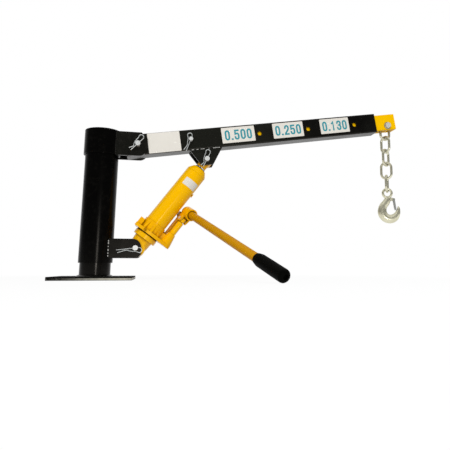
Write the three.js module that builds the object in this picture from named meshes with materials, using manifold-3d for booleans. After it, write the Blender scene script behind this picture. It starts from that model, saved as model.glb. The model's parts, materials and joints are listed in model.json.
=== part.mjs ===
// Fixed hydraulic jib crane: a base plate and post, a sleeve that swivels on the post, a box-section
// boom with a sliding extension, a long-ram hand-pumped jack and a chain with a latched hook.
// Millimetres, +Z up. The origin is the middle of the base plate's underside, on the post's axis.
// The boom reaches along +X; the jack's pins and the boom's pivot lie along Y.

import * as THREE from 'three';
import { mergeVertices } from 'three/addons/utils/BufferGeometryUtils.js';
import Module from 'manifold-3d';

const wasm = await Module();
wasm.setup();

// Driving dimensions

const gap = 0.3;          // clearance between pieces that seat on each other
const runningGap = 0.4;   // radial clearance of a turning or sliding fit
const overrun = 3;        // how far a cutter passes the faces that it cuts
const sunk = 1;           // how far joined forms of one casting reach into each other
const roundSides = 28;    // facets round the post and the sleeve
const mediumSides = 22;   // facets round the jack's cylinders
const smallSides = 12;    // facets round a pin or a hole
const tinySides = 10;     // facets round a small hole
const hiddenSides = 16;   // facets round a cylinder that other pieces hide
const wireSides = 6;      // facets round a wire

const base = {
  side: 200, thickness: 9, boltHoleRadius: 7, boltInset: 24, cornerRadius: 3,
};
const post = {
  radius: 39.4, wall: 5, height: 383, weldWidth: 8, weldHeight: 4.5,
  washerThickness: 5, washerBoreRadius: 12,
};
const sleeve = {
  wall: 3.7, aboveBase: 35, capThickness: 6, holeRadius: 4, holeBelow: 135.3, holeCount: 4,
};
const collar = { thickness: 4.2, height: 68 };
const ear = {
  thickness: 5.4, height: 67, reach: 25.5, chamfer: 17, cornerRadius: 22, drop: 33.5,
};
const footBracket = {
  thickness: 6, innerHalfWidth: 22.6, aboveSleeve: 13, height: 50.5, reach: 14.5,
  pinUp: 25.8, pinReach: 58.2, upperRadius: 23, lowerRadius: 13,
};
const pivotPin = { radius: 7, proud: 13, headRadius: 10.5, headThickness: 5 };
const lockPin = { radius: 5.9, proud: 13, headRadius: 9, headThickness: 4.5 };
const clip = { wireRadius: 1.4, loopRadius: 6.6, standOff: 6.5, flare: 7.5, waist: 3.4, holeRadius: 1.9 };
// Each clip's slope in degrees, its loop's place past the pin, its length, and its bowed leg's side.
const clips = {
  boomPivot: { turn: 47, loopAt: 19, length: 52, side: 1 },
  jackFoot: { turn: 7, loopAt: 9, length: 64, side: -1 },
  ram: { turn: 56, loopAt: 19, length: 51, side: 1 },
  lock: { turn: 62, loopAt: 9, length: 54, side: 1 },
};
const pivot = { reach: 46.9, below: 36.3 };
const boom = {
  tilt: 9.11, height: 60, width: 50, wall: 4, cornerRadius: 4, behindPivot: 33, reach: 725,
  lockAt: 145.4, lastHole: 72.4, step: 152.4, steps: 2, holeRadius: 6.6, bushWall: 3,
};
const extension = {
  height: 50, width: 40, wall: 3, cornerRadius: 3, behindLock: 28, proud: 70,
  slotWidth: 15, slotStart: 82, slotEnd: 6.5,
};
const tipBolt = {
  fromEnd: 28.5, below: 11.8, radius: 5.5, headRadius: 9.4, headThickness: 6.5, washerRadius: 11.5,
  washerThickness: 1.8, nutThickness: 8, threadProud: 3,
};
const ramBracket = {
  thickness: 5, from: 139, to: 232, tipFrom: 166, tipTo: 200, depth: 47, pinAt: 183, pinBelow: 61.5,
};
const jack = {
  lugRadius: 24, lugHalfThickness: 22, discRadius: 33, discBottom: 32.5, discTop: 46, discChamfer: 1.5,
  neckRadius: 26, seatRadius: 23, plateBottom: 48.5, plateThickness: 8.5,
  plateHalfLength: 41, plateHalfWidth: 37, plateShoulder: 22,
  ringThickness: 2.4, bossTop: 84.5, reservoirRadius: 29.3, reservoirWall: 2.5,
  padTop: 76, padDepth: 13, padHalfWidth: 25, padStep: 3, ribThickness: 6.5, ribFoot: 1.5, ribStep: 3,
  capHeight: 18, capShoulder: 4, capTopRadius: 20, spigotDepth: 7,
  cylinderRadius: 18, cylinderWall: 3.5, cylinderBottom: 66,
  wiperRadius: 16, wiperThickness: 2.6,
  plugBelow: 56, plugRadius: 5.5, plugProud: 2.8, plugStemRadius: 3,
  valveAcross: -10.3, valveUp: 53.5, valveRadius: 3.2, valveProud: 5, valveDepth: 16, valveSlot: 1.2,
  valveSlotDepth: 2,
};
const ribTurns = [-150, -118, -82, -46, 46, 82, 118, 150];
const ram = {
  radius: 12, pistonRadius: 14, pistonBottom: 74, pistonLength: 18, headBelow: 25.4, headAboveCap: 6,
  headRadius: 14, headNeck: 8, headSocket: 10, eyeRadius: 18, eyeHalfThickness: 17, eyeFlank: 5.4,
  playAlong: 4.8, playAcross: 3.3,
};
const pump = {
  offset: 52.5, turn: 62, bossTopRadius: 10.9, bossFootRadius: 17, bossTop: 88, bridgeTop: 76.5,
  cylinderRadius: 8.7, cylinderTop: 127.5, plungerRadius: 5, plungerBottom: 93, wellBottom: 81,
  tangRadius: 8, tangStart: 130, pinUp: 137, pinRadius: 3, pinPlay: 2.1, pinProud: 1.6, pinHeadRadius: 4.6,
};
const lever = {
  droop: 4.7, arm: 22, armDroop: 25, axisUp: 162, earThickness: 4.8, earRadius: 7.6, earRim: 0.4, earWeb: 4,
  socketRadius: 16.9, boreRadius: 11.1, mouthRadius: 13, mouthDepth: 4, mouthLip: 0.03,
  socketBack: 8.2, mouthReach: 24.3,
};
const link = { halfWidth: 6.3, footUp: 74, lugThickness: 5, lugRadius: 8 };
const handle = {
  radius: 10.7, wall: 2, insertedBy: 33, gripFrom: 390, gripLength: 112, gripRadius: 14.9, gripLip: 12.4,
  gripTaper: 14, recessRadius: 8.5, recessDepth: 6, endRound: 9,
};
const chain = { count: 5, wire: 8, inside: 42.8, width: 39, arcSteps: 7, sides: 8, play: 0.6 };
const chainYaws = [5, -66, 32, -28, 54];
const hook = {
  yaw: -20, eyeRadius: 9.4, eyeWire: 7.8, sides: 12, steps: 22, eyeSteps: 16, latchWidth: 9, latchThickness: 1.6,
};

// Colours of the finishes

const finishes = {
  black: { color: 0x14150f, roughness: 0.35, metalness: 0.1 },
  yellow: { color: 0xfbc008, roughness: 0.3, metalness: 0.05 },
  ochre: { color: 0xd39a06, roughness: 0.35, metalness: 0.05 },
  zinc: { color: 0xc3c0ac, roughness: 0.35, metalness: 0.9 },
  chrome: { color: 0xe4e6e8, roughness: 0.12, metalness: 1 },
  bronze: { color: 0x9a6b35, roughness: 0.4, metalness: 0.8 },
  steel: { color: 0x8f9294, roughness: 0.4, metalness: 0.9 },
  rubber: { color: 0x151515, roughness: 0.75, metalness: 0 },
};

// Solids: closed meshes from three.js geometry, joined and cut

function toSolid(geometry) {
  const bare = geometry.clone();
  bare.deleteAttribute('normal');
  bare.deleteAttribute('uv');
  const merged = mergeVertices(bare);
  const places = merged.attributes.position.array;
  const corners = merged.index.array;
  const kept = [];
  let volume = 0;
  for (let i = 0; i < corners.length; i += 3) {
    const [a, b, c] = [corners[i], corners[i + 1], corners[i + 2]];
    if (a === b || b === c || c === a) continue;
    kept.push(a, b, c);
    const [p, q, r] = [a, b, c].map((k) => new THREE.Vector3().fromArray(places, 3 * k));
    volume += p.dot(q.cross(r));
  }
  if (volume < 0) kept.reverse();
  const mesh = new wasm.Mesh({
    numProp: 3,
    vertProperties: Float32Array.from(places),
    triVerts: Uint32Array.from(kept),
  });
  return new wasm.Manifold(mesh);
}

function toGeometry(solid) {
  const mesh = solid.getMesh();
  const geometry = new THREE.BufferGeometry();
  geometry.setAttribute('position', new THREE.BufferAttribute(Float32Array.from(mesh.vertProperties), 3));
  geometry.setIndex(Array.from(mesh.triVerts));
  geometry.computeVertexNormals();
  return geometry;
}

const joined = (...solids) => solids.reduce((whole, next) => whole.add(next));
const cutBy = (solid, ...cutters) => cutters.reduce((whole, next) => whole.subtract(next), solid);

function block(low, high) {
  const size = high.map((value, i) => value - low[i]);
  const geometry = new THREE.BoxGeometry(...size);
  geometry.translate(...low.map((value, i) => value + size[i] / 2));
  return toSolid(geometry);
}

// A round bar along 'x', 'y' or 'z' from one place to another, centred on the other two coordinates.
function bar(axis, radius, from, to, centre = [0, 0], sides = smallSides, endRadius = radius) {
  const geometry = new THREE.CylinderGeometry(endRadius, radius, to - from, sides);
  geometry.translate(0, (to + from) / 2, 0);
  if (axis === 'x') {
    geometry.rotateZ(-Math.PI / 2);
    geometry.translate(0, centre[0], centre[1]);
  } else if (axis === 'y') {
    geometry.translate(centre[0], 0, centre[1]);
  } else {
    geometry.rotateX(Math.PI / 2);
    geometry.translate(centre[0], centre[1], 0);
  }
  return toSolid(geometry);
}

function pipe(axis, radius, bore, from, to, centre = [0, 0], sides = smallSides) {
  const hole = bar(axis, bore, from - overrun, to + overrun, centre, sides);
  return cutBy(bar(axis, radius, from, to, centre, sides), hole);
}

// A profile of [radius, height] pairs turned about Z.
function turned(profile, sides = roundSides) {
  const points = profile.map(([radius, height]) => new THREE.Vector2(radius, height));
  const geometry = new THREE.LatheGeometry(points, sides);
  geometry.rotateX(Math.PI / 2);
  return toSolid(geometry);
}

// An outline in X and Z, extruded along Y from one place to another.
function slabY(shape, from, to, curveSteps = 8) {
  const options = { depth: to - from, bevelEnabled: false, curveSegments: curveSteps };
  const geometry = new THREE.ExtrudeGeometry(shape, options);
  geometry.rotateX(Math.PI / 2);
  geometry.translate(0, to, 0);
  return toSolid(geometry);
}

// An outline in X and Y, extruded along Z from one place to another.
function slabZ(shape, from, to, curveSteps = 10) {
  const options = { depth: to - from, bevelEnabled: false, curveSegments: curveSteps };
  const geometry = new THREE.ExtrudeGeometry(shape, options);
  geometry.translate(0, 0, from);
  return toSolid(geometry);
}

function polygon(points) {
  return new THREE.Shape(points.map(([x, y]) => new THREE.Vector2(x, y)));
}

function circlePath(x, y, radius) {
  return new THREE.Path().absarc(x, y, radius, 0, 2 * Math.PI, true);
}

// A rectangle with round corners, centred on the origin.
function roundedRectangle(width, height, radius, Kind = THREE.Shape) {
  const [x, y] = [width / 2 - radius, height / 2 - radius];
  const shape = new Kind();
  shape.absarc(x, y, radius, 0, Math.PI / 2);
  shape.absarc(-x, y, radius, Math.PI / 2, Math.PI);
  shape.absarc(-x, -y, radius, Math.PI, 1.5 * Math.PI);
  shape.absarc(x, -y, radius, 1.5 * Math.PI, 2 * Math.PI);
  shape.closePath();
  return shape;
}

// The outline round two circles of one radius: a flat bar with round ends.
function stadium(x0, y0, x1, y1, radius) {
  const along = Math.atan2(y1 - y0, x1 - x0);
  const shape = new THREE.Shape();
  shape.absarc(x1, y1, radius, along - Math.PI / 2, along + Math.PI / 2);
  shape.absarc(x0, y0, radius, along + Math.PI / 2, along + 1.5 * Math.PI);
  shape.closePath();
  return shape;
}

// A box-section tube along X, with its section's height along Z.
function boxTube(size, from, to) {
  const shape = roundedRectangle(size.height, size.width, size.cornerRadius);
  const inside = Math.max(size.cornerRadius - size.wall, size.cornerRadius / 4);
  const bore = roundedRectangle(size.height - 2 * size.wall, size.width - 2 * size.wall, inside, THREE.Path);
  shape.holes.push(bore);
  const geometry = new THREE.ExtrudeGeometry(shape, { depth: to - from, bevelEnabled: false, curveSegments: 3 });
  geometry.translate(0, 0, from);
  geometry.rotateY(Math.PI / 2);
  return toSolid(geometry);
}

// Rings of points skinned into one closed body: with flat ends, or joined up into a loop.
function skinned(rings, loop = false) {
  const sides = rings[0].length;
  const places = rings.flat().flatMap((point) => point.toArray());
  const corners = [];
  const last = loop ? rings.length : rings.length - 1;
  for (let i = 0; i < last; i += 1) {
    const next = (i + 1) % rings.length;
    for (let j = 0; j < sides; j += 1) {
      const [a, b] = [i * sides + j, i * sides + ((j + 1) % sides)];
      const [c, d] = [next * sides + j, next * sides + ((j + 1) % sides)];
      corners.push(a, b, d, a, d, c);
    }
  }
  if (!loop) {
    const end = (rings.length - 1) * sides;
    for (let j = 1; j < sides - 1; j += 1) {
      corners.push(0, j + 1, j, end, end + j, end + j + 1);
    }
  }
  const geometry = new THREE.BufferGeometry();
  geometry.setAttribute('position', new THREE.Float32BufferAttribute(places, 3));
  geometry.setIndex(corners);
  return toSolid(geometry);
}

// A ring of points round a place on a path in the XZ plane: across is the path's side direction.
function section(place, across, halfWidth, halfDepth, sides) {
  return Array.from({ length: sides }, (_, j) => {
    const turn = (2 * Math.PI * (j + 0.5)) / sides;
    const point = place.clone().addScaledVector(across, halfWidth * Math.cos(turn));
    point.y += halfDepth * Math.sin(turn);
    return point;
  });
}

// A wire along a smooth curve through points in the XZ plane.
function wire(points, radius, steps) {
  const curve = new THREE.CatmullRomCurve3(points.map(([x, z]) => new THREE.Vector3(x, 0, z)));
  const shape = new THREE.Shape().absarc(0, 0, radius, 0, 2 * Math.PI);
  const options = { extrudePath: curve, steps, curveSegments: wireSides / 2, bevelEnabled: false };
  return toSolid(new THREE.ExtrudeGeometry(shape, options));
}

// The scene graph: named meshes in nested groups

const crane = new THREE.Group();
const onBoom = new THREE.Group();
const onJack = new THREE.Group();
const onPump = new THREE.Group();
const onLever = new THREE.Group();

function put(parent, name, solid, finish, place = [0, 0, 0]) {
  const material = new THREE.MeshStandardMaterial(finish);
  const mesh = new THREE.Mesh(toGeometry(solid), material);
  mesh.name = name;
  mesh.position.set(...place);
  parent.add(mesh);
  return mesh;
}

// Places that several pieces share

const radians = THREE.MathUtils.degToRad;
const sleeveBore = post.radius + runningGap;
const sleeveRadius = sleeveBore + sleeve.wall;
const postTop = base.thickness + post.height;
const washerTop = postTop + gap + post.washerThickness;
const sleeveBottom = base.thickness + sleeve.aboveBase;
const sleeveTop = washerTop;
const capTop = sleeveTop + gap + sleeve.capThickness;
const collarBore = sleeveRadius + gap;
const collarRadius = collarBore + collar.thickness;
const earInside = boom.width / 2 + gap;
const earOutside = earInside + ear.thickness;
const bracketOutside = footBracket.innerHalfWidth + footBracket.thickness;
const bracketBottom = sleeveBottom + footBracket.aboveSleeve;
const boomTilt = radians(boom.tilt);
const boomPivot = { x: collarRadius + pivot.reach, z: capTop - pivot.below };
const footPin = { x: sleeveRadius + footBracket.pinReach, z: bracketBottom + footBracket.pinUp };
const extensionReach = boom.reach + extension.proud;
const tipAt = extensionReach - tipBolt.fromEnd;

const ramPin = new THREE.Vector2(ramBracket.pinAt, -ramBracket.pinBelow)
  .rotateAround(new THREE.Vector2(), boomTilt)
  .add(new THREE.Vector2(boomPivot.x, boomPivot.z));
const jackReach = Math.hypot(ramPin.x - footPin.x, ramPin.y - footPin.z);
const jackLean = Math.atan2(ramPin.x - footPin.x, ramPin.y - footPin.z);
const headBottom = jackReach - ram.headBelow;
const jackTop = headBottom - ram.headAboveCap;
const reservoirTop = jackTop - jack.capHeight;

onBoom.position.set(boomPivot.x, 0, boomPivot.z);
onBoom.rotation.y = -boomTilt;
onJack.position.set(footPin.x, 0, footPin.z);
onJack.rotation.y = jackLean;
onPump.position.set(pump.offset, 0, 0);
onPump.rotation.z = -radians(pump.turn);
onJack.add(onPump);
onPump.add(onLever);
crane.add(onBoom, onJack);

// A headed pin along Y with a cross hole near its small end for a spring clip.
// The head is on the far side, past halfGrip; the clip sits outside the near side.
function headedPin(size, halfGrip, clipTurn) {
  const shank = bar('y', size.radius, -halfGrip - size.proud, halfGrip + gap + size.headThickness);
  const head = bar('y', size.headRadius, halfGrip + gap, halfGrip + gap + size.headThickness);
  const reach = size.radius + overrun;
  const crossHole = bar('x', clip.holeRadius, -reach, reach, [0, 0], tinySides);
  const turnedHole = crossHole.rotate([0, -clipTurn, 0]).translate([0, -halfGrip - clip.standOff, 0]);
  return cutBy(joined(shank, head), turnedHole);
}

// A hitch clip of spring wire: one leg through the pin, a loop, and a bowed leg round the outside.
// It lies in XZ with the straight leg on X, and the loop stands past the pin's middle.
function springClip(pinRadius, form) {
  const outside = pinRadius + clip.wireRadius + gap + 0.5 * clip.wireRadius;
  const [r, loopTop] = [clip.loopRadius, clip.loopRadius];
  const tail = form.length - form.loopAt - r;
  const points = [[-tail, 0], [-tail / 2, 0], [0, 0], [form.loopAt * 0.6, 0]];
  for (const degrees of [-90, -45, 0, 45, 90, 135]) {
    const turn = radians(degrees);
    points.push([form.loopAt + r * Math.cos(turn), loopTop + r * Math.sin(turn)]);
  }
  points.push([0, outside], [-tail * 0.28, outside * 0.72], [-tail * 0.5, clip.waist]);
  points.push([-tail * 0.75, clip.flare * 0.72], [-tail * 0.95, clip.flare]);
  return wire(points.map(([x, z]) => [x, z * form.side]), clip.wireRadius, 22);
}

// A pin and its clip at a place in XZ.
function pinAndClip(parent, name, size, halfGrip, place, form) {
  const [x, z] = place;
  put(parent, `${name}_pin`, headedPin(size, halfGrip, form.turn), finishes.zinc, [x, 0, z]);
  const mesh = put(parent, `${name}_clip`, springClip(size.radius, form), finishes.zinc);
  mesh.position.set(x, -halfGrip - clip.standOff, z);
  mesh.rotation.y = -radians(form.turn);
}

// Base and post

function buildPost() {
  const outline = roundedRectangle(base.side, base.side, base.cornerRadius);
  const bolt = base.side / 2 - base.boltInset;
  for (const [sx, sy] of [[1, 1], [-1, 1], [-1, -1], [1, -1]]) {
    outline.holes.push(circlePath(sx * bolt, sy * bolt, base.boltHoleRadius));
  }
  put(crane, 'base_plate', slabZ(outline, 0, base.thickness, 6), finishes.black);

  const tube = pipe('z', post.radius, post.radius - post.wall, base.thickness, postTop, [0, 0], roundSides);
  put(crane, 'post_tube', tube, finishes.black);

  const weldFoot = post.radius + gap;
  const bead = turned([
    [weldFoot, base.thickness],
    [weldFoot + post.weldWidth, base.thickness],
    [weldFoot + post.weldWidth * 0.55, base.thickness + post.weldHeight * 0.6],
    [weldFoot, base.thickness + post.weldHeight],
    [weldFoot, base.thickness],
  ]);
  put(crane, 'post_weld', bead, finishes.black);

  const washer = pipe('z', post.radius, post.washerBoreRadius, postTop + gap, washerTop, [0, 0], hiddenSides);
  put(crane, 'thrust_washer', washer, finishes.bronze);
}

// Sleeve, collar with the boom's ears, and the jack's foot bracket

function buildSleeve() {
  let tube = pipe('z', sleeveRadius, sleeveBore, sleeveBottom, sleeveTop, [0, 0], roundSides);
  for (let i = 0; i < sleeve.holeCount; i += 1) {
    const hole = bar('x', sleeve.holeRadius, sleeveBore - overrun, sleeveRadius + overrun, [0, 0], tinySides);
    const turn = (360 * i) / sleeve.holeCount;
    tube = cutBy(tube, hole.rotate([0, 0, turn]).translate([0, 0, sleeveTop - sleeve.holeBelow]));
  }
  put(crane, 'swivel_sleeve', tube, finishes.black);
  const cap = bar('z', sleeveRadius, sleeveTop + gap, capTop, [0, 0], roundSides);
  put(crane, 'sleeve_cap', cap, finishes.black);
  const band = pipe('z', collarRadius, collarBore, capTop - collar.height, capTop, [0, 0], roundSides);
  put(crane, 'collar', band, finishes.black);
}

function buildEars() {
  const right = boomPivot.x + ear.reach;
  const bottom = boomPivot.z - ear.drop;
  const top = bottom + ear.height;
  const outline = new THREE.Shape();
  outline.moveTo(0, bottom);
  outline.lineTo(right - ear.cornerRadius, bottom);
  outline.absarc(right - ear.cornerRadius, bottom + ear.cornerRadius, ear.cornerRadius, -Math.PI / 2, 0);
  outline.lineTo(right, top - ear.chamfer);
  outline.lineTo(right - ear.chamfer, top);
  outline.lineTo(0, top);
  outline.closePath();
  outline.holes.push(circlePath(boomPivot.x, boomPivot.z, pivotPin.radius + gap));
  const behind = bar('z', collarRadius + gap, bottom - overrun, top + overrun, [0, 0], roundSides);
  for (const [name, from, to] of [['ear_near', -earOutside, -earInside], ['ear_far', earInside, earOutside]]) {
    put(crane, name, cutBy(slabY(outline, from, to), behind), finishes.black);
  }
}

function buildFootBracket() {
  const size = footBracket;
  const right = footPin.x + size.reach;
  const top = bracketBottom + size.height;
  const outline = new THREE.Shape();
  outline.moveTo(0, bracketBottom);
  outline.lineTo(right - size.lowerRadius, bracketBottom);
  outline.absarc(right - size.lowerRadius, bracketBottom + size.lowerRadius, size.lowerRadius, -Math.PI / 2, 0);
  outline.lineTo(right, top - size.upperRadius);
  outline.absarc(right - size.upperRadius, top - size.upperRadius, size.upperRadius, 0, Math.PI / 2);
  outline.lineTo(0, top);
  outline.closePath();
  outline.holes.push(circlePath(footPin.x, footPin.z, pivotPin.radius + gap));
  const behind = bar('z', sleeveRadius + gap, bracketBottom - overrun, top + overrun, [0, 0], roundSides);
  const sides = [
    ['foot_bracket_near', -bracketOutside, -size.innerHalfWidth],
    ['foot_bracket_far', size.innerHalfWidth, bracketOutside],
  ];
  for (const [name, from, to] of sides) {
    put(crane, name, cutBy(slabY(outline, from, to), behind), finishes.black);
  }
}

// Boom and extension, in a frame at the boom's pivot with X along the boom

function stepPlaces() {
  const last = boom.reach - boom.lastHole;
  return Array.from({ length: boom.steps + 1 }, (_, i) => last - (boom.steps - i) * boom.step);
}

function buildBoom() {
  let tube = boxTube(boom, -boom.behindPivot, boom.reach);
  const half = boom.width / 2 + overrun;
  tube = cutBy(tube, bar('y', pivotPin.radius + gap, -half, half));
  tube = cutBy(tube, bar('y', lockPin.radius + gap, -half, half, [boom.lockAt, 0]));
  for (const place of stepPlaces()) {
    tube = cutBy(tube, bar('y', boom.holeRadius, -half, half, [place, 0]));
  }
  put(onBoom, 'boom_tube', tube, finishes.black);

  const inside = boom.width / 2 - boom.wall - gap;
  const bushBore = pivotPin.radius + gap;
  put(onBoom, 'pivot_bush', pipe('y', bushBore + boom.bushWall, bushBore, -inside, inside), finishes.steel);

  const size = ramBracket;
  const top = -boom.height / 2 - gap;
  const tip = top - size.depth;
  const outline = polygon([[size.from, top], [size.tipFrom, tip], [size.tipTo, tip], [size.to, top]]);
  outline.holes.push(circlePath(size.pinAt, -size.pinBelow, pivotPin.radius + gap));
  const outer = boom.width / 2;
  for (const [name, from] of [['ram_bracket_near', -outer], ['ram_bracket_far', outer - size.thickness]]) {
    put(onBoom, name, slabY(outline, from, from + size.thickness), finishes.black);
  }
}

function buildExtension() {
  let tube = boxTube(extension, boom.lockAt - extension.behindLock, extensionReach);
  const half = extension.width / 2 + overrun;
  const notch = lockPin.radius + gap;
  tube = cutBy(tube, bar('y', notch, -half, half, [boom.lockAt, 0]));
  const rear = boom.lockAt - extension.behindLock - overrun;
  tube = cutBy(tube, block([rear, -half, -notch], [boom.lockAt, half, notch]));
  tube = cutBy(tube, bar('y', tipBolt.radius + gap, -half, half, [tipAt, -tipBolt.below]));
  const slot = extension.slotWidth / 2;
  const low = -extension.height / 2 - overrun;
  const high = -extension.height / 2 + extension.wall + 0.5 * extension.wall;
  const [slotFrom, slotTo] = [extensionReach - extension.slotStart, extensionReach - extension.slotEnd];
  tube = cutBy(tube, block([slotFrom, -slot, low], [slotTo, slot, high]));
  put(onBoom, 'extension_tube', tube, finishes.yellow);
}

// A hexagonal bolt through the extension's side walls, with washers and a nut: the chain hangs on it.
function buildTipBolt() {
  const wallFace = extension.width / 2 + gap;
  const washerFace = wallFace + tipBolt.washerThickness;
  const headFace = washerFace + gap;
  const at = [tipAt, -tipBolt.below];
  const nutEnd = headFace + tipBolt.nutThickness;
  const shank = bar('y', tipBolt.radius, -headFace - tipBolt.headThickness / 2, nutEnd + tipBolt.threadProud);
  const head = bar('y', tipBolt.headRadius, -headFace - tipBolt.headThickness, -headFace, [0, 0], 6);
  put(onBoom, 'tip_bolt', joined(shank, head).translate([at[0], 0, at[1]]), finishes.zinc);
  const bore = tipBolt.radius + gap;
  const thread = bar('y', bore, headFace - overrun, nutEnd + overrun, at);
  const nut = cutBy(bar('y', tipBolt.headRadius, headFace, nutEnd, at, 6), thread);
  put(onBoom, 'tip_nut', nut, finishes.zinc);
  const near = pipe('y', tipBolt.washerRadius, bore, -washerFace, -wallFace, at);
  const far = pipe('y', tipBolt.washerRadius, bore, wallFace, washerFace, at);
  put(onBoom, 'tip_washer_near', near, finishes.zinc);
  put(onBoom, 'tip_washer_far', far, finishes.zinc);
}

// Jack, in a frame at the foot pin with Z along the ram and X towards the pump

function buildJackFoot() {
  const size = jack;
  const disc = turned([
    [0, size.discBottom], [size.discRadius - gap, size.discBottom], [size.discRadius, size.discBottom + gap],
    [size.discRadius, size.discTop - size.discChamfer], [size.discRadius - size.discChamfer, size.discTop],
    [0, size.discTop],
  ], mediumSides);
  const neck = turned([
    [0, 0], [size.lugRadius - sunk, 0], [size.neckRadius, size.discBottom], [0, size.discBottom + sunk],
  ], mediumSides);
  const half = size.lugHalfThickness;
  const slab = block([-size.discRadius, -half, 0], [size.discRadius, half, size.discBottom + sunk]);
  const eye = bar('y', size.lugRadius, -half, half, [0, 0], mediumSides);
  const hole = bar('y', pivotPin.radius + gap, -half - overrun, half + overrun);
  const body = joined(disc, neck.intersect(slab), eye);
  put(onJack, 'jack_foot', cutBy(body, hole), finishes.yellow);
}

function buildJackBase() {
  const size = jack;
  const top = size.plateBottom + size.plateThickness;
  const [length, width, shoulder] = [size.plateHalfLength, size.plateHalfWidth, size.plateShoulder];
  const lean = Math.atan2(width - pump.bossFootRadius, pump.offset - shoulder);
  const outline = new THREE.Shape();
  outline.moveTo(-length, -width);
  outline.lineTo(shoulder, -width);
  outline.absarc(pump.offset, 0, pump.bossFootRadius, -Math.PI / 2 + lean, Math.PI / 2 - lean);
  outline.lineTo(shoulder, width);
  outline.lineTo(-length, width);
  outline.closePath();
  const plate = slabZ(outline, size.plateBottom, top);
  const foot = top - sunk;
  const seat = bar('z', size.seatRadius, size.discTop + gap, size.plateBottom + sunk, [0, 0], mediumSides);
  const ring = bar('z', ringRadius(), foot, size.bossTop, [0, 0], mediumSides);
  const pad = block([-length, -size.padHalfWidth, foot], [-length + size.padDepth, size.padHalfWidth, size.padTop]);
  const padRib = block([-length + sunk, -size.ribThickness, foot],
    [-size.seatRadius, size.ribThickness, size.padTop - size.padStep]);
  const pumpBoss = bar('z', pump.bossFootRadius, foot, pump.bossTop, [pump.offset, 0], smallSides, pump.bossTopRadius);
  const bridge = block([size.seatRadius, -size.ribThickness, foot], [pump.offset, size.ribThickness, pump.bridgeTop]);
  let body = joined(plate, seat, ring, pad, padRib, pumpBoss, bridge);
  for (const turn of ribTurns) body = body.add(castRib(top).rotate([0, 0, turn]));
  body = body.add(linkLugs(top));
  const cylinderSeat = bar('z', size.cylinderRadius + gap, size.cylinderBottom - gap, size.bossTop + overrun,
    [0, 0], hiddenSides);
  const pumpSeat = bar('z', pump.plungerRadius + runningGap, pump.wellBottom, pump.bossTop + overrun,
    [pump.offset, 0]);
  const valveHole = bar('y', size.valveRadius + runningGap, -width - overrun, -width + size.valveDepth + gap,
    [size.valveAcross, size.valveUp]);
  put(onJack, 'jack_base', cutBy(body, cylinderSeat, pumpSeat, valveHole, linkRoom()), finishes.yellow);
}

// What the pump lever's link and its pin take out of the casting, turned to the lever's direction.
function linkRoom() {
  const at = fulcrumPlace().x;
  const half = linkHalfThickness() + gap;
  const reach = half + link.lugThickness;
  const wide = link.halfWidth + runningGap;
  const around = slabY(stadium(at, link.footUp, at, link.footUp + jack.bossTop, wide), -half, half);
  const pinHole = bar('y', pump.pinRadius + gap, -reach - overrun, reach + overrun, [at, link.footUp]);
  const headRoom = bar('y', pump.pinHeadRadius + runningGap, -reach - pump.pinProud - 2 * gap, -reach,
    [at, link.footUp]);
  return joined(around, pinHole, headRoom).rotate([0, 0, -pump.turn]).translate([pump.offset, 0, 0]);
}

function ringRadius() {
  return jack.reservoirRadius + jack.ringThickness;
}

// A tapering rib from the plate's edge up to the ring, along +X before it is turned into place.
function castRib(top) {
  const foot = jack.plateHalfWidth - gap;
  const [inner, rise] = [jack.seatRadius, jack.bossTop - jack.ribStep];
  const outline = polygon([
    [inner, top - sunk], [foot, top - sunk], [foot, top + jack.ribFoot], [ringRadius() - gap, rise], [inner, rise],
  ]);
  return slabY(outline, -jack.ribThickness / 2, jack.ribThickness / 2);
}

// Two lugs on the casting that carry the pump lever's link, turned to the lever's direction.
function linkLugs(top) {
  const inside = linkHalfThickness() + gap;
  const at = fulcrumPlace().x;
  const outline = stadium(at, top, at, link.footUp, link.lugRadius);
  const hole = circlePath(at, link.footUp, pump.pinRadius + gap);
  outline.holes.push(hole);
  const [wide, deep] = [link.lugRadius + overrun, inside + link.lugThickness + overrun];
  const above = block([at - wide, -deep, top - sunk], [at + wide, deep, link.footUp + wide]);
  const pair = joined(
    slabY(outline, inside, inside + link.lugThickness),
    slabY(outline, -inside - link.lugThickness, -inside),
  ).intersect(above);
  return pair.rotate([0, 0, -pump.turn]).translate([pump.offset, 0, 0]);
}

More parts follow.
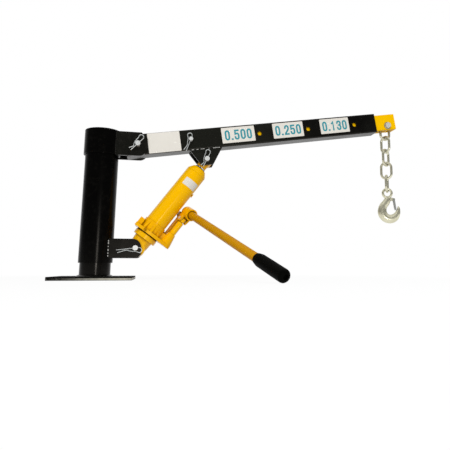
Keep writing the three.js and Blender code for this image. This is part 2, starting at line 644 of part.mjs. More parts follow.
function buildReservoir() {
  const size = jack;
  const bottom = size.bossTop + gap;
  const radius = size.reservoirRadius;
  const plugAt = reservoirTop - size.plugBelow;
  const tube = pipe('z', radius, radius - size.reservoirWall, bottom, reservoirTop, [0, 0], mediumSides);
  const plugHole = bar('x', size.plugStemRadius + gap, radius - 2 * size.reservoirWall, radius + overrun,
    [0, plugAt]);
  put(onJack, 'reservoir_tube', cutBy(tube, plugHole), finishes.yellow);
  const plug = joined(
    bar('x', size.plugRadius, radius + gap, radius + size.plugProud, [0, plugAt]),
    bar('x', size.plugStemRadius, radius - size.reservoirWall, radius + size.plugProud / 2, [0, plugAt]),
  );
  put(onJack, 'filler_plug', plug, finishes.yellow);

  const capBottom = reservoirTop + gap;
  const bore = ram.radius + runningGap;
  const cylinderBore = size.cylinderRadius + gap;
  const spigot = radius - size.reservoirWall - gap;
  const spigotBottom = capBottom - size.spigotDepth;
  const cap = turned([
    [cylinderBore, spigotBottom], [spigot, spigotBottom], [spigot, capBottom], [radius, capBottom],
    [radius, capBottom + size.capShoulder], [size.capTopRadius, jackTop], [bore, jackTop],
    [bore, capBottom], [cylinderBore, capBottom], [cylinderBore, spigotBottom],
  ], mediumSides);
  put(onJack, 'reservoir_cap', cap, finishes.yellow);
  const wiperBottom = jackTop + gap;
  const wiper = pipe('z', size.wiperRadius, bore, wiperBottom, wiperBottom + size.wiperThickness, [0, 0], mediumSides);
  put(onJack, 'wiper_seal', wiper, finishes.rubber);
  const inner = pipe('z', size.cylinderRadius, size.cylinderRadius - size.cylinderWall, size.cylinderBottom,
    capBottom - gap, [0, 0], hiddenSides);
  put(onJack, 'pressure_cylinder', inner, finishes.steel);
}

function buildReleaseValve() {
  const size = jack;
  const face = -size.plateHalfWidth - size.valveProud;
  const at = [size.valveAcross, size.valveUp];
  const stem = bar('y', size.valveRadius, face, -size.plateHalfWidth + size.valveDepth, at);
  const [x, z] = at;
  const reach = size.valveRadius + overrun;
  const slot = block([x - reach, face - overrun, z - size.valveSlot], [x + reach, face + size.valveSlotDepth, z + size.valveSlot]);
  put(onJack, 'release_valve', cutBy(stem, slot), finishes.steel);
}

function buildRam() {
  const size = ram;
  const rodBottom = size.pistonBottom + size.pistonLength + gap;
  const rodTop = headBottom + size.headSocket;
  put(onJack, 'ram_rod', bar('z', size.radius, rodBottom, rodTop - gap, [0, 0], mediumSides), finishes.chrome);
  const groove = size.pistonLength / 3;
  const piston = turned([
    [0, size.pistonBottom], [size.pistonRadius, size.pistonBottom],
    [size.pistonRadius, size.pistonBottom + groove], [size.radius, size.pistonBottom + groove],
    [size.radius, size.pistonBottom + 2 * groove], [size.pistonRadius, size.pistonBottom + 2 * groove],
    [size.pistonRadius, size.pistonBottom + size.pistonLength], [0, size.pistonBottom + size.pistonLength],
  ], hiddenSides);
  put(onJack, 'ram_piston', piston, finishes.steel);
  const sealFrom = size.pistonBottom + groove + gap;
  const seal = pipe('z', size.pistonRadius + 0.5 * gap, size.radius + gap, sealFrom, sealFrom + groove - 2 * gap,
    [0, 0], hiddenSides);
  put(onJack, 'piston_seal', seal, finishes.rubber);

  const half = size.eyeHalfThickness;
  const eye = bar('y', size.eyeRadius, -half, half, [0, jackReach], mediumSides);
  const neck = turned([
    [0, headBottom], [size.headRadius, headBottom], [size.headRadius, headBottom + size.headNeck],
    [size.eyeRadius - sunk, jackReach - size.eyeFlank], [0, jackReach - size.eyeFlank],
  ], mediumSides);
  const slotHalf = size.playAlong;
  const holeRadius = pivotPin.radius + size.playAcross;
  const slot = stadium(0, jackReach - slotHalf + size.playAcross / 2, 0, jackReach + slotHalf - size.playAcross / 2,
    holeRadius);
  const cutter = slabY(slot, -half - overrun, half + overrun);
  const socket = bar('z', size.radius + gap, headBottom - overrun, rodTop, [0, 0], mediumSides);
  put(onJack, 'ram_head', cutBy(joined(eye, neck), cutter, socket), finishes.yellow);
}

// Pump, in a frame on the pump's axis with X towards the handle and Z along the plunger

function linkHalfThickness() {
  return pump.tangRadius;
}

function fulcrumPlace() {
  const droop = radians(lever.armDroop);
  return { x: -lever.arm * Math.cos(droop), z: pump.pinUp + lever.arm * Math.sin(droop) };
}

function smallPin(reach) {
  const shank = bar('y', pump.pinRadius, -reach - pump.pinProud, reach + pump.pinProud, [0, 0], tinySides);
  const head = bar('y', pump.pinHeadRadius, -reach - pump.pinProud - gap, -reach - gap, [0, 0], tinySides);
  return joined(shank, head);
}

function buildPump() {
  const bore = pump.plungerRadius + runningGap;
  const barrel = pipe('z', pump.cylinderRadius, bore, pump.bossTop + gap, pump.cylinderTop);
  put(onPump, 'pump_cylinder', barrel, finishes.yellow);

  const half = pump.tangRadius;
  const rod = bar('z', pump.plungerRadius, pump.plungerBottom, pump.tangStart + sunk);
  const neck = bar('z', half, pump.tangStart, pump.pinUp);
  const round = bar('y', half, -half, half, [0, pump.pinUp]).intersect(
    bar('z', half, pump.tangStart, pump.pinUp + half + overrun),
  );
  const slot = stadium(0, pump.pinUp, pump.pinPlay, pump.pinUp, pump.pinRadius + gap);
  const cutter = slabY(slot, -half - overrun, half + overrun);
  put(onPump, 'pump_plunger', cutBy(joined(rod, neck, round), cutter), finishes.yellow);

  const { x, z } = fulcrumPlace();
  const thick = linkHalfThickness();
  const outline = stadium(x, link.footUp, x, z, link.halfWidth);
  outline.holes.push(circlePath(x, link.footUp, pump.pinRadius + gap), circlePath(x, z, pump.pinRadius + gap));
  put(onPump, 'pump_link', slabY(outline, -thick, thick), finishes.yellow);
  const lugReach = thick + gap + link.lugThickness;
  put(onPump, 'link_pin', smallPin(lugReach), finishes.zinc, [x, 0, link.footUp]);
}

// Lever: the handle socket with its two ears, in a frame at the fulcrum with X along the handle

function buildLever() {
  const fulcrum = fulcrumPlace();
  const droop = radians(lever.droop);
  onLever.position.set(fulcrum.x, 0, fulcrum.z);
  onLever.rotation.y = droop;
  const armTurn = radians(lever.armDroop - lever.droop);
  const pin = { x: lever.arm * Math.cos(armTurn), z: -lever.arm * Math.sin(armTurn) };
  const axisZ = (lever.axisUp - fulcrum.z) * Math.cos(droop) - fulcrum.x * Math.sin(droop);
  const mouth = (lever.mouthReach - fulcrum.x) * Math.cos(droop);

  const axis = [0, axisZ];
  const tube = bar('x', lever.socketRadius, lever.socketBack, mouth, axis, mediumSides);
  const inside = linkHalfThickness() + gap + runningGap / 2;
  const outside = inside + lever.earThickness;
  const low = axisZ - lever.boreRadius * 0.85;
  const outline = new THREE.Shape();
  outline.absarc(pin.x, pin.z, lever.earRadius + lever.earRim, -0.55 * Math.PI, 0);
  outline.lineTo(pin.x + lever.earRadius + lever.earWeb, low);
  outline.lineTo(lever.socketBack, low);
  outline.absarc(0, 0, lever.earRadius, Math.PI / 2, 1.45 * Math.PI);
  outline.closePath();
  let body = joined(tube, slabY(outline, inside, outside), slabY(outline, -outside, -inside));
  const between = block(
    [-lever.earRadius - overrun, -inside, pin.z - lever.earRadius - overrun],
    [lever.socketBack, inside, axisZ - lever.boreRadius],
  );
  const bore = bar('x', lever.boreRadius, lever.socketBack - overrun, mouth + overrun, axis, mediumSides);
  const flare = bar('x', lever.boreRadius, mouth - lever.mouthDepth, mouth + lever.mouthLip, axis, mediumSides,
    lever.mouthRadius);
  const tangRoom = bar('y', pump.tangRadius + pump.pinPlay / 2 + 2 * gap, -inside, inside, [pin.x, pin.z], hiddenSides);
  body = cutBy(body, between, tangRoom, bore, flare);
  for (const place of [[0, 0], [pin.x, pin.z]]) {
    body = cutBy(body, bar('y', pump.pinRadius + gap, -outside - overrun, outside + overrun, place));
  }
  put(onLever, 'handle_socket', body, finishes.yellow);
  put(onLever, 'fulcrum_pin', smallPin(outside), finishes.zinc);
  put(onLever, 'plunger_pin', smallPin(outside), finishes.zinc, [pin.x, 0, pin.z]);

  const rodStart = mouth - handle.insertedBy;
  const gripStart = (handle.gripFrom - fulcrum.x) * Math.cos(droop);
  const gripEnd = gripStart + handle.gripLength;
  const rodEnd = gripEnd - handle.recessDepth - handle.endRound;
  const rod = pipe('x', handle.radius, handle.radius - handle.wall, rodStart, rodEnd, axis, mediumSides);
  put(onLever, 'handle_rod', rod, finishes.ochre);
  put(onLever, 'handle_grip', gripSolid(gripStart, gripEnd, rodEnd).translate([0, 0, axisZ]), finishes.rubber);
}

// A moulded grip: lip, taper, straight body and a rounded end with a round recess.
function gripSolid(start, end, rodEnd) {
  const bore = handle.radius + gap;
  const profile = [[bore, start], [handle.gripLip, start], [handle.gripRadius, start + handle.gripTaper]];
  for (let i = 0; i <= 4; i += 1) {
    const turn = (i * Math.PI) / 8;
    const round = handle.endRound;
    profile.push([
      handle.gripRadius - round + round * Math.cos(turn),
      end - round + round * Math.sin(turn),
    ]);
  }
  profile.push([handle.recessRadius * 0.7, end], [handle.recessRadius * 0.6, end - handle.recessDepth]);
  profile.push([0, end - handle.recessDepth], [0, rodEnd + gap], [bore, rodEnd + gap], [bore, start]);
  return turned(profile, mediumSides).rotate([0, 90, 0]);
}

// Chain: each link hangs inside the one above, at its own turn about the vertical

function oval(size) {
  const radius = size.wire / 2;
  const bend = size.width / 2 - radius;
  const straight = size.inside + size.wire - 2 * bend;
  const middle = -(size.inside / 2);
  const rings = [];
  for (const [side, centre] of [[0, middle + straight / 2], [1, middle - straight / 2]]) {
    for (let i = 0; i <= size.arcSteps; i += 1) {
      const turn = Math.PI * (side + i / size.arcSteps);
      const across = new THREE.Vector3(Math.cos(turn), 0, Math.sin(turn));
      const place = new THREE.Vector3(0, 0, centre).addScaledVector(across, bend);
      rings.push(section(place, across, radius, radius, size.sides));
    }
  }
  return skinned(rings, true);
}

function tipPlace() {
  return new THREE.Vector2(tipAt, -tipBolt.below)
    .rotateAround(new THREE.Vector2(), boomTilt)
    .add(new THREE.Vector2(boomPivot.x, boomPivot.z));
}

function linkTop(index) {
  const first = tipPlace().y + tipBolt.radius + gap;
  return first - index * (chain.inside - chain.play);
}

function buildChain() {
  for (let i = 0; i < chain.count; i += 1) {
    const mesh = put(crane, `chain_link_${i + 1}`, oval(chain), finishes.zinc, [tipPlace().x, 0, linkTop(i)]);
    mesh.rotation.z = radians(chainYaws[i]);
  }
}

// Hook: an eye, a forged body that swells round the bowl and narrows to its tip, and a sprung latch

function hookBody() {
  const ring = hook.eyeRadius + hook.eyeWire / 2;
  const eyeRings = [];
  for (let i = 0; i < hook.eyeSteps; i += 1) {
    const turn = (2 * Math.PI * i) / hook.eyeSteps;
    const across = new THREE.Vector3(Math.cos(turn), 0, Math.sin(turn));
    eyeRings.push(section(across.clone().multiplyScalar(ring), across, hook.eyeWire / 2, hook.eyeWire / 2, chain.sides));
  }
  const eye = skinned(eyeRings, true);
  const unit = hook.eyeRadius + hook.eyeWire;
  // Shares of the eye's outer radius: centre line x and z, half width in the hook's plane, half depth.
  const shares = [
    [0.08, -0.78, 0.36, 0.3], [0.02, -1.15, 0.58, 0.36], [-0.32, -1.74, 0.63, 0.42],
    [-0.88, -2.44, 0.66, 0.48], [-1.12, -3.2, 0.7, 0.52], [-0.98, -3.95, 0.72, 0.55],
    [-0.45, -4.6, 0.7, 0.56], [0.35, -4.85, 0.67, 0.53], [1.15, -4.6, 0.6, 0.47],
    [1.65, -4.0, 0.47, 0.4], [1.86, -3.32, 0.34, 0.33], [1.9, -2.78, 0.23, 0.26], [1.87, -2.45, 0.1, 0.14],
  ];
  const middle = new THREE.CatmullRomCurve3(shares.map(([x, z]) => new THREE.Vector3(x, 0, z)));
  const sizes = new THREE.CatmullRomCurve3(shares.map(([, , w, d]) => new THREE.Vector3(w, d, 0)));
  const steps = hook.steps;
  const rings = [];
  for (let i = 0; i <= steps; i += 1) {
    const t = i / steps;
    const along = middle.getTangent(t);
    const across = new THREE.Vector3(-along.z, 0, along.x).normalize();
    const { x: w, y: d } = sizes.getPoint(t);
    rings.push(section(middle.getPoint(t).multiplyScalar(unit), across, w * unit, d * unit, hook.sides));
  }
  return joined(eye, skinned(rings));
}

// The latch pivots beside the hook's throat and closes on the inside of the tip.
function latchPlaces() {
  const unit = hook.eyeRadius + hook.eyeWire;
  return { pivot: [1.1 * unit, -1.18 * unit], tip: [1.33 * unit, -2.96 * unit], boss: 0.25 * unit };
}

function buildHook() {
  const { pivot, tip, boss } = latchPlaces();
  const [half, thin] = [hook.latchWidth / 2, hook.latchThickness];
  const earHalf = half - thin - gap;
  const lug = bar('y', boss, -earHalf, earHalf, pivot);
  const web = slabY(polygon([
    [0, pivot[1] - boss], [pivot[0], pivot[1] - boss], [pivot[0], pivot[1] + boss], [0, pivot[1] + 2 * boss],
  ]), -earHalf, earHalf);
  const rivetHole = bar('y', thin + gap, -half, half, pivot, tinySides);
  const body = cutBy(joined(hookBody(), web, lug), rivetHole);

  const reach = Math.hypot(tip[0] - pivot[0], tip[1] - pivot[1]);
  const slope = Math.atan2(tip[1] - pivot[1], tip[0] - pivot[0]);
  const outline = stadium(0, 0, reach, 0, boss * 0.7);
  const plate = slabY(outline, -half, half);
  const channel = block([-boss - overrun, -half + thin, -boss - overrun], [reach - 2 * thin, half - thin, boss * 0.7 - thin]);
  const lugRoom = block([-boss - overrun, -half + thin, -boss - overrun], [boss + 2 * gap, half - thin, boss]);
  const rivet = bar('y', thin, -half - thin / 2, half + thin / 2, [0, 0], tinySides);
  let latch = joined(cutBy(plate, channel, lugRoom), rivet);
  latch = latch.rotate([0, (-180 * slope) / Math.PI, 0]).translate([pivot[0], 0, pivot[1]]);

  const bottomOfChain = linkTop(chain.count - 1) - chain.inside;
  const place = [tipPlace().x, 0, bottomOfChain + chain.play - hook.eyeRadius];
  for (const [name, solid, finish] of [['hook', body, finishes.zinc], ['hook_latch', latch, finishes.steel]]) {
    put(crane, name, solid, finish, place).rotation.z = radians(hook.yaw);
  }
}

buildPost();
buildSleeve();
buildEars();
buildFootBracket();
pinAndClip(crane, 'boom_pivot', pivotPin, earOutside, [boomPivot.x, boomPivot.z], clips.boomPivot);
pinAndClip(crane, 'jack_foot', pivotPin, bracketOutside, [footPin.x, footPin.z], clips.jackFoot);
buildBoom();
pinAndClip(onBoom, 'ram', pivotPin, boom.width / 2, [ramBracket.pinAt, -ramBracket.pinBelow], clips.ram);
pinAndClip(onBoom, 'lock', lockPin, boom.width / 2, [boom.lockAt, 0], clips.lock);
buildExtension();
buildTipBolt();
buildJackFoot();
buildJackBase();
buildReservoir();
buildReleaseValve();
buildRam();
buildPump();
buildLever();
buildChain();
buildHook();

export default crane;
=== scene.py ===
"""Studio scene of a fixed hydraulic jib crane.

The crane stands on a bolt-down base plate: a sleeve swivels on a short post, a box-section boom
with a sliding extension pivots on the sleeve, and a hand-pumped long-ram jack holds the boom up.
Sizes are in millimetres and the scene is in metres, both in the crane's own frame: +Z up, +X along
the boom, origin in the middle of the base plate's underside.
"""

from __future__ import annotations

import json
import logging
import math
from collections.abc import Callable, Iterable, Sequence
from dataclasses import dataclass, field, replace
from enum import Enum
from typing import NamedTuple

import bmesh
import bpy
from mathutils import Matrix, Vector, noise

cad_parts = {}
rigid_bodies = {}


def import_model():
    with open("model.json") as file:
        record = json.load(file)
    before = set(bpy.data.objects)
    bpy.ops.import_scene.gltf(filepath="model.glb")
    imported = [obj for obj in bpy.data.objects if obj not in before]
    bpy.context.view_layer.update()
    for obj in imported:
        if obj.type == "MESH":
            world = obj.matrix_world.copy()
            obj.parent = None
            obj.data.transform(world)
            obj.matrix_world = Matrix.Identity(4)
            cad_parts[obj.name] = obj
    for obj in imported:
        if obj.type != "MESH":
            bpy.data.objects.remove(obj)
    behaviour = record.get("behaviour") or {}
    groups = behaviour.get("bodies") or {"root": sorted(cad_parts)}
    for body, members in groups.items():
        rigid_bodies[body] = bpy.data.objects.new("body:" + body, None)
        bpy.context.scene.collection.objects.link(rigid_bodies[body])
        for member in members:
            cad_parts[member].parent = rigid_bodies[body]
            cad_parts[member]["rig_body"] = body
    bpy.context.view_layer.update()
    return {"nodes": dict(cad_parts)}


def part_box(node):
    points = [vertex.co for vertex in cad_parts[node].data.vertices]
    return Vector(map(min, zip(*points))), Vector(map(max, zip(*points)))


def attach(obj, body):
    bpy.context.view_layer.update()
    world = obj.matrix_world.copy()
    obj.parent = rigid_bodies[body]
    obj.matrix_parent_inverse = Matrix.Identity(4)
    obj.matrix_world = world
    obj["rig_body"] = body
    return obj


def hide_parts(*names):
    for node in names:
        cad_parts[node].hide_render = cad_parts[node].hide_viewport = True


LOG = logging.getLogger("jib_crane")
MM = 0.001
FRAME_PIXELS = 450
CORNER_STEPS = 4
SAME_POINT = 1e-7
JUST_SHORT = 1e-9
Point = tuple[float, float, float]
Pair = tuple[float, float]
Inputs = dict[str | int, object]
Mesh = bpy.types.Mesh
Node = bpy.types.Node
Plug = bpy.types.NodeSocket
Tree = bpy.types.NodeTree


def linear(red: float, green: float, blue: float) -> tuple[float, float, float, float]:
    """Turns a display colour into the linear values that shaders take.

    Args:
        red: Red from 0 to 255.
        green: Green from 0 to 255.
        blue: Blue from 0 to 255.

    Returns:
        Linear red, green, blue and an alpha of 1.
    """

    def one(value: float) -> float:
        """Returns one channel in linear light."""
        share = value / 255
        return share / 12.92 if share <= 0.04045 else ((share + 0.055) / 1.055) ** 2.4

    return one(red), one(green), one(blue), 1.0


def polar(radius: float, turn: float) -> Pair:
    """Returns the point at a radius and an angle in radians."""
    return radius * math.cos(turn), radius * math.sin(turn)


def leaning(degrees: float) -> tuple[Point, Point]:
    """Returns the X and Z axis of a frame that is turned up about the crane's Y axis."""
    across, up = polar(1.0, math.radians(degrees))
    return (across, 0.0, up), (-up, 0.0, across)


def middle_of(node: str) -> Vector:
    """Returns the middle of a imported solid's box, in millimetres."""
    low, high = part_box(node)
    return (low + high) / 2 / MM


def half_width(node: str) -> float:
    """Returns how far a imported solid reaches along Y, in millimetres."""
    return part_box(node)[1].y / MM


class Placement(NamedTuple):
    """A sub-assembly's own frame inside the crane's frame.

    Attributes:
        origin: Place of the frame's origin, in millimetres.
        x_axis: Direction of its X axis.
        z_axis: Direction of its Z axis.
    """

    origin: Point = (0.0, 0.0, 0.0)
    x_axis: Point = (1.0, 0.0, 0.0)
    z_axis: Point = (0.0, 0.0, 1.0)

    def matrix(self) -> Matrix:
        """Finds where the frame lies in the scene.

        Returns:
            The matrix from this frame in millimetres to the scene in metres.
        """
        x_dir = Vector(self.x_axis).normalized()
        z_dir = Vector(self.z_axis).normalized()
        y_dir = z_dir.cross(x_dir).normalized()
        turn = Matrix((x_dir, y_dir, z_dir)).transposed().to_4x4()
        return Matrix.Translation(Vector(self.origin) * MM) @ turn @ Matrix.Scale(MM, 4)


class Axes(Enum):
    """The frames that sizes are written in: the pin at each origin and the slope in degrees."""

    CRANE = (None, 0.0)
    BOOM = ("boom_pivot_pin", 9.11)
    JACK = ("jack_foot_pin", -36.0)

    def placement(self) -> Placement:
        """Finds the frame's place.

        Returns:
            The placement.
        """
        pin, slope = self.value
        middle = middle_of(pin) if pin else Vector()
        return Placement((middle.x, 0.0, middle.z), *leaning(slope))


class Net:
    """Makes and joins the nodes of one node tree."""

    def __init__(self, tree: Tree) -> None:
        """Keeps the tree."""
        self.tree = tree

    def feed(self, node: Node, inputs: Inputs) -> None:
        """Gives a node's inputs their values.

        Args:
            node: The node.
            inputs: For each input by name or number, its value or the socket that feeds it.
        """
        for name, given in inputs.items():
            if isinstance(given, Plug):
                self.tree.links.new(given, node.inputs[name])
            else:
                node.inputs[name].default_value = given

    def node(self, kind: str, inputs: Inputs | None = None, **settings: object) -> Node:
        """Makes a node.

        Args:
            kind: Its type.
            inputs: For each input that needs one, its value or the socket that feeds it.
            **settings: Its own settings.

        Returns:
            The node.
        """
        made = self.tree.nodes.new(kind)
        for name, value in settings.items():
            setattr(made, name, value)
        self.feed(made, inputs or {})
        return made

    def effect(self, effect: Effect, inputs: Inputs) -> Node:
        """Returns a node that shows one of the shared effects, with its inputs given."""
        return self.node("ShaderNodeGroup", inputs, node_tree=GROUPS.get(effect))

    def math(self, operation: str, *values: object, clamp: bool = False) -> Plug:
        """Returns a sum, product or the like, held between 0 and 1 where clamp is set."""
        inputs = dict(enumerate(values))
        return self.node("ShaderNodeMath", inputs, operation=operation, use_clamp=clamp).outputs[0]

    def grain(self, place: Plug, scale: object, detail: float = 2.0, rough: float = 0.5) -> Plug:
        """Returns cloudy noise over a place, finer with the scale and the detail."""
        inputs = {"Vector": place, "Scale": scale, "Detail": detail, "Roughness": rough}
        return self.node("ShaderNodeTexNoise", inputs).outputs["Fac"]

    def ramp(
        self, value: Plug, low: float = 0.0, high: float = 1.0,
        start: object = 0.0, end: object = 1.0,
    ) -> Plug:
        """Returns what goes from start to end while the given value goes from low to high."""
        inputs = {"Value": value, "From Min": low, "From Max": high, "To Min": start, "To Max": end}
        return self.node("ShaderNodeMapRange", inputs).outputs["Result"]

    def blend(self, share: Plug, first: object, second: object) -> Plug:
        """Returns a colour that goes from the first to the second with the share."""
        inputs = {0: share, 6: first, 7: second}
        return self.node("ShaderNodeMix", inputs, data_type="RGBA").outputs[2]


class Effect(Enum):
    """The shared surface effects, each one a shader node group."""

    EDGE_WEAR = "Edge wear"
    ORANGE_PEEL = "Orange peel"
    SOILING = "Soiling"
    BRUSHING = "Brushing"
    # Grime and painted shade: inner corners darkened where ambient occlusion finds them, broken into
    # patches.
    GRIME = "Grime in corners"


class Socket(Enum):
    """The kinds of value that a group takes or gives."""

    NUMBER = "NodeSocketFloat"
    DIRECTION = "NodeSocketVector"
    COLOR = "NodeSocketColor"


@dataclass(frozen=True)
class Groups:
    """Builds each shared effect's node group once and hands it out.

    Attributes:
        convex: Pointiness between which an edge comes to count as worn.
        flecks: Noise between which the wear on an edge comes in.
        slow_ripple: Fineness of the paint's slow ripple.
        fine_share: Height of its fine ripple as a share of the slow one's.
        clouds: Noise between which the soiled colour comes in.
        closed: Openness between which the grime and painted shade come in.
        patches: Fineness of the patches that break them up.
        thin: Share of the grime and painted shade that is left where it is thinnest.
    """

    convex: Pair = (0.52, 0.62)
    flecks: Pair = (0.52, 0.66)
    slow_ripple: float = 34.0
    fine_share: float = 0.35
    clouds: Pair = (0.38, 0.7)
    closed: Pair = (0.85, 0.25)
    patches: float = 60.0
    thin: float = 0.6

    def get(self, effect: Effect) -> Tree:
        """Finds an effect's node group, which is built on the first call.

        Args:
            effect: The effect.

        Returns:
            The group.
        """
        builders: dict[Effect, Callable[[], Tree]] = {
            Effect.EDGE_WEAR: self._edge_wear,
            Effect.ORANGE_PEEL: self._orange_peel,
            Effect.SOILING: self._soiling,
            Effect.BRUSHING: self._brushing,
            Effect.GRIME: self._grime_and_shade,
        }
        return bpy.data.node_groups.get(effect.value) or builders[effect]()

    @staticmethod
    def _start(
        effect: Effect, inputs: dict[str, object], outputs: dict[str, Socket]
    ) -> tuple[Net, bpy.types.NodeOutputs, Node]:
        """Makes an empty group that takes the surface's place and other inputs.

        Args:
            effect: The effect that the group is for.
            inputs: Name and default of each other input: a number, a direction or a colour.
            outputs: Name and kind of each output.

        Returns:
            The group, what its input node gives and its output node.
        """
        tree = bpy.data.node_groups.new(effect.value, "ShaderNodeTree")
        kinds = {3: Socket.DIRECTION, 4: Socket.COLOR}
        for name, default in {"Vector": (0.0, 0.0, 0.0), **inputs}.items():
            kind = Socket.NUMBER if isinstance(default, float) else kinds[len(default)]
            socket = tree.interface.new_socket(name=name, in_out="INPUT", socket_type=kind.value)
            socket.default_value = default
        for name, kind in outputs.items():
            tree.interface.new_socket(name=name, in_out="OUTPUT", socket_type=kind.value)
        given = tree.nodes.new("NodeGroupInput").outputs
        return Net(tree), given, tree.nodes.new("NodeGroupOutput")

    def _edge_wear(self) -> Tree:
        """Builds a mask of worn edges: convex edges broken up by noise.

        Returns:
            The group.
        """
        net, given, result = self._start(
            Effect.EDGE_WEAR, {"Amount": 0.3, "Scale": 90.0}, {"Mask": Socket.NUMBER}
        )
        edge = net.ramp(net.node("ShaderNodeNewGeometry").outputs["Pointiness"], *self.convex)
        broken = net.ramp(net.grain(given["Vector"], given["Scale"], detail=6), *self.flecks)
        mask = net.math("MULTIPLY", net.math("MULTIPLY", edge, broken), given["Amount"])
        net.feed(result, {"Mask": mask})
        return net.tree

    def _orange_peel(self) -> Tree:
        """Builds the faint ripple of sprayed enamel, as a height.

        Returns:
            The group.
        """
        net, given, result = self._start(
            Effect.ORANGE_PEEL, {"Scale": 260.0}, {"Height": Socket.NUMBER}
        )
        fine = net.grain(given["Vector"], given["Scale"], detail=1.5)
        slow = net.grain(given["Vector"], self.slow_ripple)
        net.feed(result, {"Height": net.math("MULTIPLY_ADD", fine, self.fine_share, slow)})
        return net.tree

    def _soiling(self) -> Tree:
        """Builds a base colour with soft uneven tone, and a roughness that varies with it.

        Returns:
            The group.
        """
        net, given, result = self._start(
            Effect.SOILING,
            {
                "Clean": (0.5, 0.5, 0.5, 1.0), "Soiled": (0.3, 0.3, 0.3, 1.0), "Amount": 0.3,
                "Scale": 12.0, "Cover": 0.0, "Smooth": 0.3, "Rough": 0.5,
            },
            {"Color": Socket.COLOR, "Roughness": Socket.NUMBER},
        )
        noisy = net.grain(given["Vector"], given["Scale"], detail=7, rough=0.62)
        cloud = net.ramp(noisy, *self.clouds)
        share = net.math("MULTIPLY_ADD", cloud, given["Amount"], given["Cover"], clamp=True)
        color = net.blend(share, given["Clean"], given["Soiled"])
        rough = net.ramp(cloud, start=given["Smooth"], end=given["Rough"])
        net.feed(result, {"Color": color, "Roughness": rough})
        return net.tree

    def _brushing(self) -> Tree:
        """Builds fine scratches drawn out along one direction, as a height.

        Returns:
            The group.
        """
        net, given, result = self._start(
            Effect.BRUSHING, {"Stretch": (40.0, 40.0, 900.0)}, {"Height": Socket.NUMBER}
        )
        inputs = {0: given["Vector"], 1: given["Stretch"]}
        drawn = net.node("ShaderNodeVectorMath", inputs, operation="MULTIPLY").outputs[0]
        net.feed(result, {"Height": net.grain(drawn, 1.0, detail=4)})
        return net.tree

    def _grime_and_shade(self) -> Tree:
        """Builds a mask of grime and painted shade in inner corners and seams, from ambient
        occlusion.

        Returns:
            The group.
        """
        net, given, result = self._start(
            Effect.GRIME, {"Amount": 0.6, "Reach": 0.007}, {"Mask": Socket.NUMBER}
        )
        inputs = {"Distance": given["Reach"]}
        # Painted shade: ambient occlusion darkens the corners where shade falls.
        openness = net.node("ShaderNodeAmbientOcclusion", inputs, samples=6).outputs["AO"]
        broken = net.ramp(net.grain(given["Vector"], self.patches), start=self.thin)
        mask = net.math("MULTIPLY", net.ramp(openness, *self.closed), broken)
        net.feed(result, {"Mask": net.math("MULTIPLY", mask, given["Amount"])})
        return net.tree


GROUPS = Groups()


